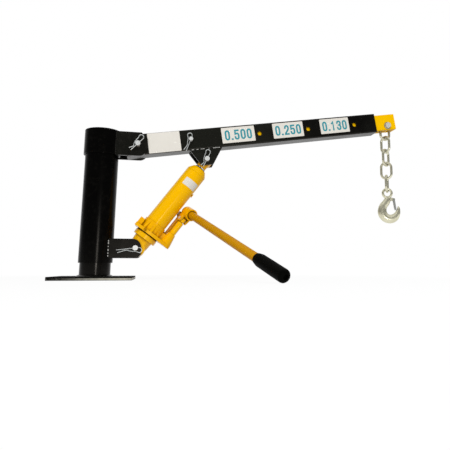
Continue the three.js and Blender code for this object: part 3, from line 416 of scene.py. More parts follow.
@dataclass(frozen=True)
class Finish:
    """A surface finish of the crane, with the detail that it shows.

    Attributes:
        name: Name of the material.
        color: Display colour, each value 0 to 255.
        soiled: Display colour of its dull or dirty places.
        worn: Display colour where an edge is rubbed through.
        metallic: 1 for bare metal, 0 for paint, rubber and labels.
        smooth: Roughness where it is clean.
        rough: Roughness where it is dull.
        soiling: How strongly the soiled colour shows.
        wear: How strongly worn edges show.
        peel: Depth of the sprayed ripple, as the bump's strength.
        peel_scale: Fineness of the ripple.
        specular: Strength of the surface's own reflection.
        tint: Tone of that reflection.
        patch: Fineness of the dull or dirty places.
        fade: Where along X, in metres, the soiled colour starts and where it covers all, or None;
        on the plate's edges it leaves a painted reflection that brightens towards +X.
        grime_and_shade: How strongly inner corners darken with grime and painted shade.
        reach: How far from a corner, in metres, that is seen.
        grime_and_shade_share: Colour of that grime and painted shade as a share of the soiled
            colour.
        brushing: Stretch of the tool marks, or None for none.
    """

    name: str
    color: Point
    soiled: Point
    worn: Point
    metallic: float = 0.0
    smooth: float = 0.3
    rough: float = 0.45
    soiling: float = 0.35
    wear: float = 0.4
    peel: float = 0.06
    peel_scale: float = 260.0
    specular: float = 0.5
    tint: Point = (1.0, 1.0, 1.0)
    patch: float = 12.0
    fade: Pair | None = None
    grime_and_shade: float = 0.0
    reach: float = 0.007
    grime_and_shade_share: float = 0.42
    brushing: Point | None = None

    def material(self) -> bpy.types.Material:
        """Returns this finish's material, built on the first call."""
        return bpy.data.materials.get(self.name) or self._build()

    def _build(self) -> bpy.types.Material:
        """Makes a node material for this finish.

        Returns:
            The material.
        """
        material = bpy.data.materials.new(self.name)
        material.use_nodes = True
        net = Net(material.node_tree)
        place = net.node("ShaderNodeTexCoord").outputs["Object"]
        soil = net.effect(
            Effect.SOILING,
            {
                "Vector": place, "Clean": linear(*self.color), "Soiled": linear(*self.soiled),
                "Amount": self.soiling, "Scale": self.patch, "Smooth": self.smooth,
                "Rough": self.rough,
            },
        )
        # Fade along X: the plate edge's painted reflection, and the boom's lighter pivot end.
        if self.fade is not None:
            split = net.node("ShaderNodeSeparateXYZ", {0: place})
            net.feed(soil, {"Cover": net.ramp(split.outputs["X"], *self.fade)})
        wear = net.effect(Effect.EDGE_WEAR, {"Vector": place, "Amount": self.wear})
        surface = net.blend(wear.outputs["Mask"], soil.outputs["Color"], linear(*self.worn))
        # Grime and painted shade: corners found by ambient occlusion take a darker share of the
        # soiled colour.
        if self.grime_and_shade:
            inputs = {"Vector": place, "Amount": self.grime_and_shade, "Reach": self.reach}
            shade = linear(*(channel * self.grime_and_shade_share for channel in self.soiled))
            corners = net.effect(Effect.GRIME, inputs)
            surface = net.blend(corners.outputs["Mask"], surface, shade)
        if self.brushing is None:
            relief = net.effect(Effect.ORANGE_PEEL, {"Vector": place, "Scale": self.peel_scale})
        else:
            relief = net.effect(Effect.BRUSHING, {"Vector": place, "Stretch": self.brushing})
        height = relief.outputs["Height"]
        bump = net.node("ShaderNodeBump", {"Strength": self.peel, "Distance": MM, "Height": height})
        net.feed(
            net.tree.nodes["Principled BSDF"],
            {
                "Specular IOR Level": self.specular, "Specular Tint": (*self.tint, 1.0),
                "Metallic": self.metallic, "Base Color": surface,
                "Roughness": soil.outputs["Roughness"], "Normal": bump.outputs["Normal"],
            },
        )
        return material


BLACK_ENAMEL = Finish(
    "black_enamel", (4, 4, 3), (13, 13, 11), (58, 56, 50), tint=(1.0, 0.93, 0.82),
    smooth=0.22, rough=0.32, soiling=0.3, wear=0.22, peel=0.008, specular=0.3,
)
DEEP_ENAMEL = replace(
    BLACK_ENAMEL, name="deep_black_enamel", color=(2, 2, 2), soiled=(6, 6, 5),
    specular=0.09, smooth=0.2, rough=0.24, soiling=0.15, wear=0.12,
)
# Painted light: a lighter copy of the black enamel for the flat ear plates.
LIT_SIDE_ENAMEL = replace(BLACK_ENAMEL, name="side_enamel", color=(13, 14, 11), soiled=(22, 23, 19))
# Lighter towards the pivot end: from X 0.62 m down to 0.4 m the grey (22, 23, 19) comes in.
BOOM_ENAMEL = replace(
    BLACK_ENAMEL, name="boom_enamel", color=(2, 2, 2), soiled=(22, 23, 19),
    specular=0.22, fade=(0.62, 0.4),
)
PLATE_ENAMEL = replace(BLACK_ENAMEL, name="plate_enamel", specular=0.05, smooth=0.6, rough=0.75)
POST_ENAMEL = replace(DEEP_ENAMEL, name="post_enamel", specular=0.16, smooth=0.15, rough=0.18)
YELLOW_ENAMEL = Finish(
    "yellow_enamel", (252, 190, 0), (244, 176, 0), (180, 130, 8), tint=(1.0, 0.85, 0.4),
    smooth=0.15, rough=0.21, soiling=0.08, wear=0.06, peel=0.002, specular=0.18, grime_and_shade=0.6,
)
FOOT_ENAMEL = replace(YELLOW_ENAMEL, name="foot_enamel", specular=0.4, smooth=0.2, rough=0.28)
BOX_ENAMEL = replace(
    YELLOW_ENAMEL, name="box_enamel", color=(255, 198, 0), soiled=(250, 190, 0),
    specular=0.08, smooth=0.3, rough=0.4,
)
CAST_ENAMEL = Finish(
    "yellow_enamel_on_casting", (250, 184, 0), (232, 160, 0), (160, 112, 8), tint=(1.0, 0.85, 0.4),
    smooth=0.22, rough=0.34, soiling=0.15, wear=0.12, peel=0.015, peel_scale=150.0, specular=0.2,
    grime_and_shade=0.9, reach=0.009,
)
HANDLE_ENAMEL = Finish(
    "handle_enamel", (208, 146, 0), (194, 128, 0), (130, 92, 8),
    smooth=0.34, rough=0.46, soiling=0.3, wear=0.08, peel=0.003, specular=0.07, grime_and_shade=0.7,
)
ZINC = Finish(
    "zinc_plating", (224, 221, 197), (174, 166, 132), (232, 230, 216),
    metallic=0.74, smooth=0.22, rough=0.34, soiling=0.5, wear=0.15, peel=0.02, peel_scale=420.0,
    grime_and_shade=0.95, reach=0.005,
)
BRIGHT_ZINC = Finish(
    "bright_zinc", (238, 240, 238), (208, 212, 210), (242, 244, 242),
    metallic=0.5, smooth=0.34, rough=0.46, soiling=0.4, wear=0.1, peel=0.01, peel_scale=420.0,
)
CLIP_ZINC = Finish(
    "spring_wire", (214, 218, 216), (176, 180, 178), (224, 226, 224),
    metallic=0.65, smooth=0.28, rough=0.4, soiling=0.4, wear=0.1, peel=0.01, peel_scale=420.0,
)
FORGED_ZINC = Finish(
    "zinc_on_forging", (230, 227, 201), (168, 161, 127), (236, 234, 218),
    metallic=0.74, smooth=0.2, rough=0.3, soiling=0.4, wear=0.15, peel=0.03, peel_scale=160.0,
    grime_and_shade=0.9, reach=0.006,
)
LATCH_ZINC = replace(FORGED_ZINC, name="latch_zinc", color=(168, 170, 166), soiled=(112, 112, 104))
CHROME = Finish(
    "hard_chrome", (224, 226, 228), (200, 202, 204), (230, 230, 230),
    metallic=1.0, smooth=0.08, rough=0.16, soiling=0.2, wear=0.0, peel=0.02,
    brushing=(60.0, 60.0, 2400.0),
)
STEEL = Finish(
    "machined_steel", (168, 168, 166), (120, 118, 112), (200, 200, 198),
    metallic=0.8, smooth=0.24, rough=0.42, soiling=0.5, wear=0.3, peel=0.03,
    brushing=(70.0, 70.0, 1800.0),
)
BRONZE = Finish(
    "bearing_bronze", (168, 120, 66), (120, 84, 44), (196, 150, 92),
    metallic=0.8, smooth=0.3, rough=0.45, soiling=0.4, wear=0.2, peel=0.03,
)
# Scuffed bare edge with a painted reflection: pale from X 0.06 m up, going over to black by X -0.095
# m.
SCUFF_AND_SHEEN_EDGE = Finish(
    "scuffed_edge", (190, 187, 172), (10, 10, 8), (200, 198, 186), fade=(0.06, -0.095), patch=90.0,
    smooth=0.4, rough=0.55, soiling=0.35, wear=0.2, peel=0.1, peel_scale=300.0, specular=0.1,
)
RUBBER = Finish(
    "moulded_rubber", (3, 3, 2), (9, 9, 8), (22, 22, 21),
    smooth=0.5, rough=0.66, soiling=0.35, wear=0.25, peel=0.05, peel_scale=520.0, specular=0.025,
)
LABEL = Finish(
    "white_label", (229, 225, 216), (220, 215, 205), (224, 220, 212),
    smooth=0.4, rough=0.5, soiling=0.4, wear=0.0, peel=0.004, specular=0.12,
)
TEAL_PRINT = Finish(
    "teal_print", (58, 146, 158), (74, 156, 166), (90, 165, 174),
    smooth=0.4, rough=0.5, soiling=0.4, wear=0.0, peel=0.01, specular=0.15,
)
WELD = Finish(
    "painted_weld", (12, 12, 11), (44, 43, 38), (96, 94, 86), tint=(1.0, 0.94, 0.86),
    smooth=0.26, rough=0.4, soiling=0.4, wear=0.3, peel=0.2, peel_scale=300.0, specular=0.2,
)
# Painted highlights: a pale finish for short beads that stand in for glints on the welds.
WELD_GLINT = Finish(
    "bright_weld", (222, 222, 216), (150, 150, 144), (228, 228, 222), patch=70.0,
    smooth=0.3, rough=0.45, soiling=0.8, wear=0.3, peel=0.1, peel_scale=300.0, specular=0.4,
)


class Shading:
    """Rounds the shading of gently turning faces and keeps hard edges hard."""

    def __init__(self, degrees: float) -> None:
        """Builds the node group.

        Args:
            degrees: Edges that turn by less than this are shaded smooth.
        """
        net = Net(bpy.data.node_groups.new("Round shading", "GeometryNodeTree"))
        for side in ("INPUT", "OUTPUT"):
            net.tree.interface.new_socket(
                name="Geometry", in_out=side, socket_type="NodeSocketGeometry"
            )
        angle = net.node("GeometryNodeInputMeshEdgeAngle").outputs["Unsigned Angle"]
        limit = {0: angle, 1: math.radians(degrees)}
        gentle = net.node("FunctionNodeCompare", limit, data_type="FLOAT", operation="LESS_EQUAL")
        shape = net.node("NodeGroupInput").outputs["Geometry"]
        for domain, smooth in (("EDGE", gentle.outputs["Result"]), ("FACE", True)):
            inputs = {"Geometry": shape, "Shade Smooth": smooth}
            shape = net.node("GeometryNodeSetShadeSmooth", inputs, domain=domain).outputs[0]
        net.node("NodeGroupOutput", {"Geometry": shape})
        self.tree = net.tree

    def add_to(self, piece: bpy.types.Object) -> None:
        """Adds the rounding to a piece, with wide faces shaded true beside narrow ones.

        Args:
            piece: The piece.
        """
        piece.modifiers.new("round_shading", "NODES").node_group = self.tree
        true = piece.modifiers.new("true_faces", "WEIGHTED_NORMAL")
        true.weight = 100
        true.keep_sharp = True


class Coat(NamedTuple):
    """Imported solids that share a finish.

    Attributes:
        finish: Their finish.
        ease: Width of the rounding of their hard edges, in millimetres.
        names: Their names.
    """

    finish: Finish
    ease: float
    names: tuple[str, ...]


@dataclass
class Workshop:
    """Turns meshes into pieces that ride on the crane's bodies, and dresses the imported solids.

    Attributes:
        nodes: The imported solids.
        gentle: Edges that turn by less than this, in degrees, are shaded smooth.
        hard: Edges that turn by more than this, in degrees, are rounded.
        one_plane: Faces that turn by less than this, in degrees, become one face.
        one_point: Corners nearer than this, in metres, become one corner.
        facets: Number of facets over a rounded edge.
        count: Number of pieces made.
    """

    nodes: dict[str, bpy.types.Object]
    gentle: float = 38.0
    hard: float = 35.0
    one_plane: float = 0.6
    one_point: float = 0.000002
    facets: int = 2
    count: int = 0

    def __post_init__(self) -> None:
        """Prepares the shading."""
        self.shading = Shading(self.gentle)

    def body_of(self, node: str) -> str:
        """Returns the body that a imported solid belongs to."""
        return self.nodes[node]["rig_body"]

    def piece(
        self, mesh: Mesh, finish: Finish, body: str, slot: str, replaces: Sequence[str] = ()
    ) -> None:
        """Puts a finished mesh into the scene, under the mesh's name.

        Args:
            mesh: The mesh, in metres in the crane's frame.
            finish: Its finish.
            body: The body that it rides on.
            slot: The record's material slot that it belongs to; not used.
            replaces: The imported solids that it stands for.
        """
        made = bpy.data.objects.new(mesh.name, mesh)
        bpy.context.scene.collection.objects.link(made)
        mesh.materials.append(finish.material())
        self.shading.add_to(made)
        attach(made, body)
        if replaces:
            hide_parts(*replaces)
        self.count += 1
        LOG.info("piece %s on %s", made.name, body)

    def dress(self, coats: Iterable[Coat]) -> None:
        """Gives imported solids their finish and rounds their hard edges.

        Args:
            coats: What is dressed how.
        """
        for coat in coats:
            for name in coat.names:
                node = self.nodes[name]
                node.data.materials.clear()
                node.data.materials.append(coat.finish.material())
                node.modifiers.new("one_skin", "WELD").merge_threshold = self.one_point
                flat = node.modifiers.new("whole_faces", "DECIMATE")
                flat.decimate_type = "DISSOLVE"
                flat.angle_limit = math.radians(self.one_plane)
                bevel = node.modifiers.new("eased_edges", "BEVEL")
                bevel.width = coat.ease * MM
                bevel.segments = self.facets
                bevel.limit_method = "ANGLE"
                bevel.angle_limit = math.radians(self.hard)
                bevel.miter_outer = "MITER_ARC"
                self.shading.add_to(node)
                LOG.info("dressed %s with %s", name, coat.finish.name)


def mesh_from(
    name: str, points: Iterable[Point | Vector], faces: Sequence[Sequence[int]], place: Placement
) -> Mesh:
    """Makes a mesh with its faces turned outwards.

    Args:
        name: Name of the mesh.
        points: Its corners, in the placement's millimetres.
        faces: Corner numbers of each face.
        place: The frame of the corners.

    Returns:
        The mesh.
    """
    mesh = bpy.data.meshes.new(name)
    matrix = place.matrix()
    mesh.from_pydata([tuple(matrix @ Vector(point)) for point in points], [], faces)
    shape = bmesh.new()
    shape.from_mesh(mesh)
    bmesh.ops.remove_doubles(shape, verts=shape.verts, dist=SAME_POINT)
    bmesh.ops.recalc_face_normals(shape, faces=shape.faces)
    shape.to_mesh(mesh)
    shape.free()
    return mesh


def joined(name: str, parts: Iterable[Mesh]) -> Mesh:
    """Puts meshes together into one and drops them.

    Args:
        name: Name of the whole.
        parts: The meshes.

    Returns:
        The whole.
    """
    whole = bmesh.new()
    for part in parts:
        whole.from_mesh(part)
        bpy.data.meshes.remove(part)
    mesh = bpy.data.meshes.new(name)
    whole.to_mesh(mesh)
    whole.free()
    return mesh


def skin(rings: int, sides: int, closed: bool) -> list[list[int]]:
    """Returns the quads between rings of points.

    Args:
        rings: Number of rings.
        sides: Number of points in each.
        closed: Whether the last ring joins the first.

    Returns:
        Corner numbers of each quad.
    """
    faces = []
    for ring in range(rings if closed else rings - 1):
        here, there = ring * sides, (ring + 1) % rings * sides
        for step in range(sides):
            after = (step + 1) % sides
            faces.append([here + step, here + after, there + after, there + step])
    return faces


def rounded_box(left: float, right: float, low: float, high: float, corner: float) -> list[Pair]:
    """Returns the outline of a rectangle with round corners.

    Args:
        left: Least of the first coordinate.
        right: Greatest of the first coordinate.
        low: Least of the second coordinate.
        high: Greatest of the second coordinate.
        corner: Radius of the corners.

    Returns:
        The outline's points.
    """
    outline = []
    for x, y, start in (
        (right - corner, high - corner, 0), (left + corner, high - corner, 90),
        (left + corner, low + corner, 180), (right - corner, low + corner, 270),
    ):
        for step in range(CORNER_STEPS + 1):
            out = polar(corner, math.radians(start + 90 * step / CORNER_STEPS))
            outline.append((x + out[0], y + out[1]))
    return outline


def prism(name: str, outline: Sequence[Pair], depths: Pair, place: Placement) -> Mesh:
    """Makes a flat plate of an outline in the placement's XZ plane.

    Args:
        name: Name of the mesh.
        outline: The outline, in millimetres.
        depths: The two faces' places along Y.
        place: The frame of both.

    Returns:
        The mesh.
    """
    count = len(outline)
    points = [(x, depth, z) for depth in depths for x, z in outline]
    faces = [list(range(count)), [count + i for i in range(count)]]
    return mesh_from(name, points, faces + skin(2, count, closed=False), place)


def sweep(
    name: str,
    path: Sequence[Vector],
    radius: Callable[[float], float],
    place: Placement,
    sides: int,
    loop: bool = False,
    flat: Callable[[float], float] = lambda share: 1.0,
) -> Mesh:
    """Sweeps a round section along a path.

    Args:
        name: Name of the mesh.
        path: Points of the centre line, in the placement's millimetres.
        radius: Gives the section's radius at a share of the path from 0 to 1.
        place: The frame that the path is in.
        sides: Number of facets round the section.
        loop: Whether the path closes on itself.
        flat: Gives the section's depth as a share of its width, at a share of the path.

    Returns:
        The mesh.
    """
    count = len(path)
    points: list[Vector] = []
    normal = Vector((0, 1, 0))
    for i, here in enumerate(path):
        before = path[i - 1] if (i or loop) else here
        after = path[(i + 1) % count] if (i < count - 1 or loop) else here
        along = (after - before).normalized()
        normal = (normal - along * normal.dot(along)).normalized()
        side = along.cross(normal).normalized()
        share = i / (count - 1)
        size = radius(share)
        depth = size * flat(share)
        for j in range(sides):
            turn = 2 * math.pi * j / sides
            out = side * math.cos(turn) * size + normal * math.sin(turn) * depth
            points.append(here + out)
    faces = skin(count, sides, loop)
    if not loop:
        faces += [list(range(sides)), [(count - 1) * sides + j for j in range(sides)]]
    return mesh_from(name, points, faces, place)


def smooth_path(points: Sequence[Point], steps: int) -> list[Vector]:
    """Runs a smooth curve through points.

    Args:
        points: The points that it passes, in millimetres.
        steps: Number of points that come back, less one.

    Returns:
        Evenly numbered points along the curve.
    """
    knots = [Vector(p) for p in points]
    full = [knots[0] * 2 - knots[1], *knots, knots[-1] * 2 - knots[-2]]
    spans = len(knots) - 1
    found: list[Vector] = []
    for i in range(steps + 1):
        place = min(i / steps * spans, spans - JUST_SHORT)
        k = int(place)
        t = place - k
        p0, p1, p2, p3 = full[k : k + 4]
        found.append(
            0.5 * (2 * p1 + (p2 - p0) * t + (2 * p0 - 5 * p1 + 4 * p2 - p3) * t * t
                   + (3 * p1 - p0 - 3 * p2 + p3) * t**3)
        )
    return found


class Seam(NamedTuple):
    """A straight weld that the near and the far side both have.

    Attributes:
        name: Name of the bead, without its side.
        start: One end on the far side, in the frame's millimetres.
        end: The other end.
        axes: The frame of both.
        body: The body that it rides on.
        radius: Half its width.
        painted_glints: Whether pale stretches are laid on it as painted highlights.
    """

    name: str
    start: Point
    end: Point
    axes: Axes
    body: str
    radius: float
    painted_glints: bool

    def ends(self, side: int) -> list[Vector]:
        """Returns both ends on the near side, which is -1, or the far side, which is 1."""
        return [Vector((x, side * y, z)) for x, y, z in (self.start, self.end)]


@dataclass
class WeldBeads:
    """Ripples of weld along the seams that show.

    Attributes:
        seams: The welds.
        pitch: Distance from one ripple to the next, in millimetres.
        ripple: Height of a ripple as a share of the radius.
        drift: How far the radius wanders, as a share of it.
        drift_rate: How fast it wanders, over each millimetre.
        end_size: Size of a bead's ends as a share of the radius.
        end_rate: How fast it grows to the full radius, over the whole length.
        points: Number of points along each ripple.
        sides: Number of facets round a bead.
        painted_glints: Start and end share of each stretch that has a painted highlight.
        glint_out: How far such a stretch stands out, as a share of the radius.
        glint_size: Its radius as a share of the bead's.
    """

    seams: tuple[Seam, ...] = (
        Seam("ear_weld", (37.0, 30.7, 336.0), (37.0, 30.7, 399.0), Axes.CRANE, "mast", 1.6, False),
        Seam("bracket_weld", (33.0, 28.7, 59.0), (33.0, 28.7, 105.5), Axes.CRANE, "mast", 1.7, True),
        Seam("ram_weld", (142.0, 25.0, -30.4), (229.0, 25.0, -30.4), Axes.BOOM, "boom", 1.3, True),
    )
    pitch: float = 2.6
    ripple: float = 0.13
    drift: float = 0.3
    drift_rate: float = 0.11
    end_size: float = 0.35
    end_rate: float = 6.0
    points: int = 4
    sides: int = 10
    painted_glints: tuple[Pair, ...] = ((0.02, 0.11), (0.17, 0.25), (0.3, 0.45), (0.55, 0.62), (0.7, 0.96))
    glint_out: float = 0.35
    glint_size: float = 0.8

    def bead(self, name: str, start: Vector, end: Vector, place: Placement, radius: float) -> Mesh:
        """Makes a straight rippled bead between two places.

        Args:
            name: Name of the mesh.
            start: One end, in the placement's millimetres.
            end: The other end.
            place: The frame of both.
            radius: Half its width.

        Returns:
            The mesh.
        """
        length = (end - start).length
        steps = max(int(length / self.pitch * self.points), 3 * self.points)
        path = [start.lerp(end, i / steps) for i in range(steps + 1)]

        def size(share: float) -> float:
            """Finds the bead's radius.

            Args:
                share: Share of its length.

            Returns:
                The radius there.
            """
            ripple = 1 + self.ripple * math.cos(2 * math.pi * share * length / self.pitch)
            spot = Vector((share * length * self.drift_rate, start[0], start[2]))
            drift = 1 + self.drift * noise.noise(spot)
            taper = min(1.0, self.end_size + self.end_rate * min(share, 1 - share))
            return radius * ripple * drift * taper

        return sweep(name, path, size, place, self.sides)

    def glint_beads(self, name: str, seam: Seam, side: int) -> Mesh:
        """Makes the painted highlights of a bead: short pale beads over stretches of it.

        Args:
            name: Name of the mesh.
            seam: The bead's seam.
            side: -1 for the near side, 1 for the far side.

        Returns:
            The mesh.
        """
        start, end = seam.ends(side)
        place = seam.axes.placement()
        out = Vector((0, side * seam.radius * self.glint_out, 0))
        size = seam.radius * self.glint_size
        parts = []
        for stretch in self.painted_glints:
            first, last = (start.lerp(end, share) + out for share in stretch)
            parts.append(self.bead(name, first, last, place, size))
        return joined(name, parts)

    def build(self, shop: Workshop) -> None:
        """Builds every bead.

        Args:
            shop: Where the pieces are put together.
        """
        for side, word in ((-1, "near"), (1, "far")):
            for seam in self.seams:
                name, place = f"{seam.name}_{word}", seam.axes.placement()
                mesh = self.bead(name, *seam.ends(side), place, seam.radius)
                shop.piece(mesh, WELD, seam.body, "black")
            # Painted highlights: pale short beads over the seams that glint.
            for seam in self.seams:
                if seam.painted_glints:
                    mesh = self.glint_beads(f"{seam.name}_{word}_rubbed", seam, side)
                    shop.piece(mesh, WELD_GLINT, seam.body, "black")


@dataclass
class Mast:
    """Base plate, post, swivel sleeve, collar and their plates.

    Attributes:
        coats: How its solids are dressed.
        half_side: Half the base plate's side, in millimetres.
        corner: Radius of its corners.
        edge: Lower and upper limit of the band of scuffs and painted reflection on its edges.
        skin: How far the band stands off the paint.
        sunk: How far it goes into it.
    """

    coats: tuple[Coat, ...] = (
        Coat(BLACK_ENAMEL, 0.8, ("post_weld", "foot_bracket_near", "foot_bracket_far")),
        Coat(DEEP_ENAMEL, 0.8, ("swivel_sleeve", "sleeve_cap", "collar")),
        Coat(POST_ENAMEL, 0.8, ("post_tube",)),
        Coat(PLATE_ENAMEL, 0.8, ("base_plate",)),
        Coat(LIT_SIDE_ENAMEL, 0.8, ("ear_near", "ear_far")),
        Coat(BRONZE, 0.4, ("thrust_washer",)),
    )
    half_side: float = field(default_factory=lambda: half_width("base_plate"))
    corner: float = 3.0
    edge: Pair = (0.9, 5.6)
    skin: float = 0.12
    sunk: float = 0.3

    def edge_band(self) -> Mesh:
        """Makes the skin round the base plate's sawn edges: scuffed bare metal with a painted
        reflection.

        Returns:
            The mesh.
        """
        points: list[Point] = []
        low, high = self.edge
        inner, outer = -self.sunk, self.skin
        for out, height in ((inner, low), (outer, low), (outer, high), (inner, high)):
            reach = self.half_side + out
            outline = rounded_box(-reach, reach, -reach, reach, self.corner + out)
            points += [(x, y, height) for x, y in outline]
        return mesh_from("plate_edges", points, skin(4, len(outline), closed=True), Placement())

    def build(self, shop: Workshop) -> None:
        """Dresses the mast's solids and gives the plate's edges scuffs and a painted reflection."""
        shop.dress(self.coats)
        shop.piece(self.edge_band(), SCUFF_AND_SHEEN_EDGE, shop.body_of("base_plate"), "black")


GLYPHS: dict[str, tuple[Pair, ...]] = {
    "0": (
        (0.0, 0.2), (0.0, 0.8), (0.12, 0.93), (0.32, 1.0), (0.68, 1.0), (0.88, 0.93), (1.0, 0.8),
        (1.0, 0.2), (0.88, 0.07), (0.68, 0.0), (0.32, 0.0), (0.12, 0.07),
    ),
    "1": ((0.12, 0.8), (0.5, 1.0), (0.5, 0.0)),
    "2": (
        (0.0, 0.76), (0.05, 0.9), (0.3, 1.0), (0.7, 1.0), (0.95, 0.9), (1.0, 0.72), (0.9, 0.55),
        (0.1, 0.12), (0.0, 0.0), (1.0, 0.0),
    ),
    "3": (
        (0.0, 0.8), (0.08, 0.93), (0.3, 1.0), (0.7, 1.0), (0.95, 0.9), (1.0, 0.74), (0.86, 0.57),
        (0.4, 0.52), (0.86, 0.47), (1.0, 0.3), (0.95, 0.1), (0.7, 0.0), (0.3, 0.0), (0.08, 0.07),
        (0.0, 0.2),
    ),
    "5": (
        (0.95, 1.0), (0.05, 1.0), (0.02, 0.56), (0.3, 0.63), (0.7, 0.63), (0.93, 0.54),
        (1.0, 0.36), (0.95, 0.1), (0.7, 0.0), (0.3, 0.0), (0.06, 0.07), (0.0, 0.22),
    ),
    ".": ((0.0, 0.0), (0.5, 0.0), (1.0, 0.0)),
}


@dataclass(frozen=True)
class PrintForm:
    """Sizes of the tall, bold numbers on the rating plates, in millimetres.

    Attributes:
        height: Height of a digit.
        width: Width of a digit.
        dot_width: Width of the point.
        stroke: Thickness of the lines.
        space: Space between signs.
        depths: Places of the print's two layers under the plate's face.
        sharpest: Least cosine of half a bend that a line's corners are drawn out to.
    """

    height: float = 30.0
    width: float = 15.0
    dot_width: float = 5.8
    stroke: float = 5.0
    space: float = 3.6
    depths: Pair = (-0.05, 0.06)
    sharpest: float = 0.6

    def width_of(self, sign: str) -> float:
        """Returns the width of a digit or a point."""
        return self.dot_width if sign == "." else self.width

    def length(self, text: str) -> float:
        """Returns the length of a number."""
        return sum(self.width_of(sign) for sign in text) + self.space * (len(text) - 1)

    def beyond(self, inner: Pair, end: Pair) -> Pair:
        """Returns an end of a line, moved away from the point before it by half the thickness."""
        away = Vector((end[0] - inner[0], end[1] - inner[1])).normalized() * (self.stroke / 2)
        return end[0] + away.x, end[1] + away.y

    def ribbon(self, path: Sequence[Pair], closed: bool) -> tuple[list[Pair], list[list[int]]]:
        """Turns a line into a flat band.

        Args:
            path: The middle of the band.
            closed: Whether the last point joins the first.

        Returns:
            The band's corners, and the corner numbers of each of its quads.
        """
        count = len(path)
        corners: list[Pair] = []
        if not closed:
            path = [self.beyond(path[1], path[0]), *path[1:-1], self.beyond(path[-2], path[-1])]
        for i, (x, z) in enumerate(path):
            steps = []
            if i or closed:
                steps.append(Vector((x - path[i - 1][0], z - path[i - 1][1])).normalized())
            if i < count - 1 or closed:
                after = path[(i + 1) % count]
                steps.append(Vector((after[0] - x, after[1] - z)).normalized())
            one, two = steps[0], steps[-1]
            along = (one + two).normalized()
            half = self.stroke / 2 / max(along.dot(one), self.sharpest)
            corners.append((x - along.y * half, z + along.x * half))
            corners.append((x + along.y * half, z - along.x * half))
        strips = []
        for i in range(count if closed else count - 1):
            j = (i + 1) % count
            strips.append([2 * i, 2 * i + 1, 2 * j + 1, 2 * j])
        return corners, strips


@dataclass
class Boom:
    """Boom, extension and ram bracket, with the bare label plates on the near side.

    Attributes:
        coats: How its solids are dressed.
        place: The boom's own frame.
        face: Half the boom's width: the near face is at minus this.
        sunk: How far a label's back stands off the paint.
        proud: How far its face does.
        corner: Radius of a label's corners.
        ratings: Start, end and number of each rating plate, along the boom.
        rating_heights: Lower and upper edge of the rating plates.
        notice: Start, end, lower and upper edge of the large bare plate.
        print_form: Form of the numbers.
    """

    coats: tuple[Coat, ...] = (
        Coat(BOOM_ENAMEL, 0.6, ("boom_tube", "ram_bracket_near", "ram_bracket_far")),
        Coat(BOX_ENAMEL, 0.4, ("extension_tube",)),
        Coat(STEEL, 0.3, ("pivot_bush",)),
    )
    place: Placement = field(default_factory=Axes.BOOM.placement)
    face: float = field(default_factory=lambda: half_width("boom_tube"))
    sunk: float = 0.02
    proud: float = 0.25
    corner: float = 2.0
    ratings: tuple[tuple[float, float, str], ...] = (
        (235.0, 333.0, "0.500"), (389.0, 484.0, "0.250"), (539.0, 634.0, "0.130"),
    )
    rating_heights: Pair = (-20.5, 25.5)
    notice: tuple[float, float, float, float] = (27.0, 116.0, -29.0, 28.3)
    print_form: PrintForm = PrintForm()

    def plate(self, name: str, left: float, right: float, low: float, high: float) -> Mesh:
        """Returns a thin label with round corners on the boom's near face."""
        outline = rounded_box(left, right, low, high, self.corner)
        return prism(name, outline, (-self.face - self.sunk, -self.face - self.proud), self.place)

    def number(self, name: str, text: str, left: float, low: float) -> Mesh:
        """Returns a printed number on a rating plate.

        Args:
            name: Name of the mesh.
            text: The number.
            left: Start of the print along the boom.
            low: Lower edge of the print.

        Returns:
            The mesh.
        """
        form = self.print_form
        points: list[Point] = []
        faces: list[list[int]] = []
        front = -self.face - self.proud
        for sign in text:
            inner = (form.width_of(sign) - form.stroke, form.height - form.stroke)
            path = [
                (left + form.stroke / 2 + x * inner[0], low + form.stroke / 2 + z * inner[1])
                for x, z in GLYPHS[sign]
            ]
            corners, strips = form.ribbon(path, sign == "0")
            for depth in form.depths:
                base = len(points)
                points += [(x, front - depth, z) for x, z in corners]
                faces += [[base + i for i in strip] for strip in strips]
            left += form.width_of(sign) + form.space
        return mesh_from(name, points, faces, self.place)

    def build(self, shop: Workshop) -> None:
        """Dresses the boom and adds its plates.

        Args:
            shop: Where the pieces are put together.
        """
        shop.dress(self.coats)
        shop.piece(self.plate("notice_plate", *self.notice), LABEL, "boom", "black")
        low, high = self.rating_heights
        foot = (low + high - self.print_form.height) / 2
        for i, (start, end, number) in enumerate(self.ratings, 1):
            plate = self.plate(f"rating_plate_{i}", start, end, low, high)
            shop.piece(plate, LABEL, "boom", "black")
            left = (start + end - self.print_form.length(number)) / 2
            figures = self.number(f"rating_number_{i}", number, left, foot)
            shop.piece(figures, TEAL_PRINT, "boom", "black")


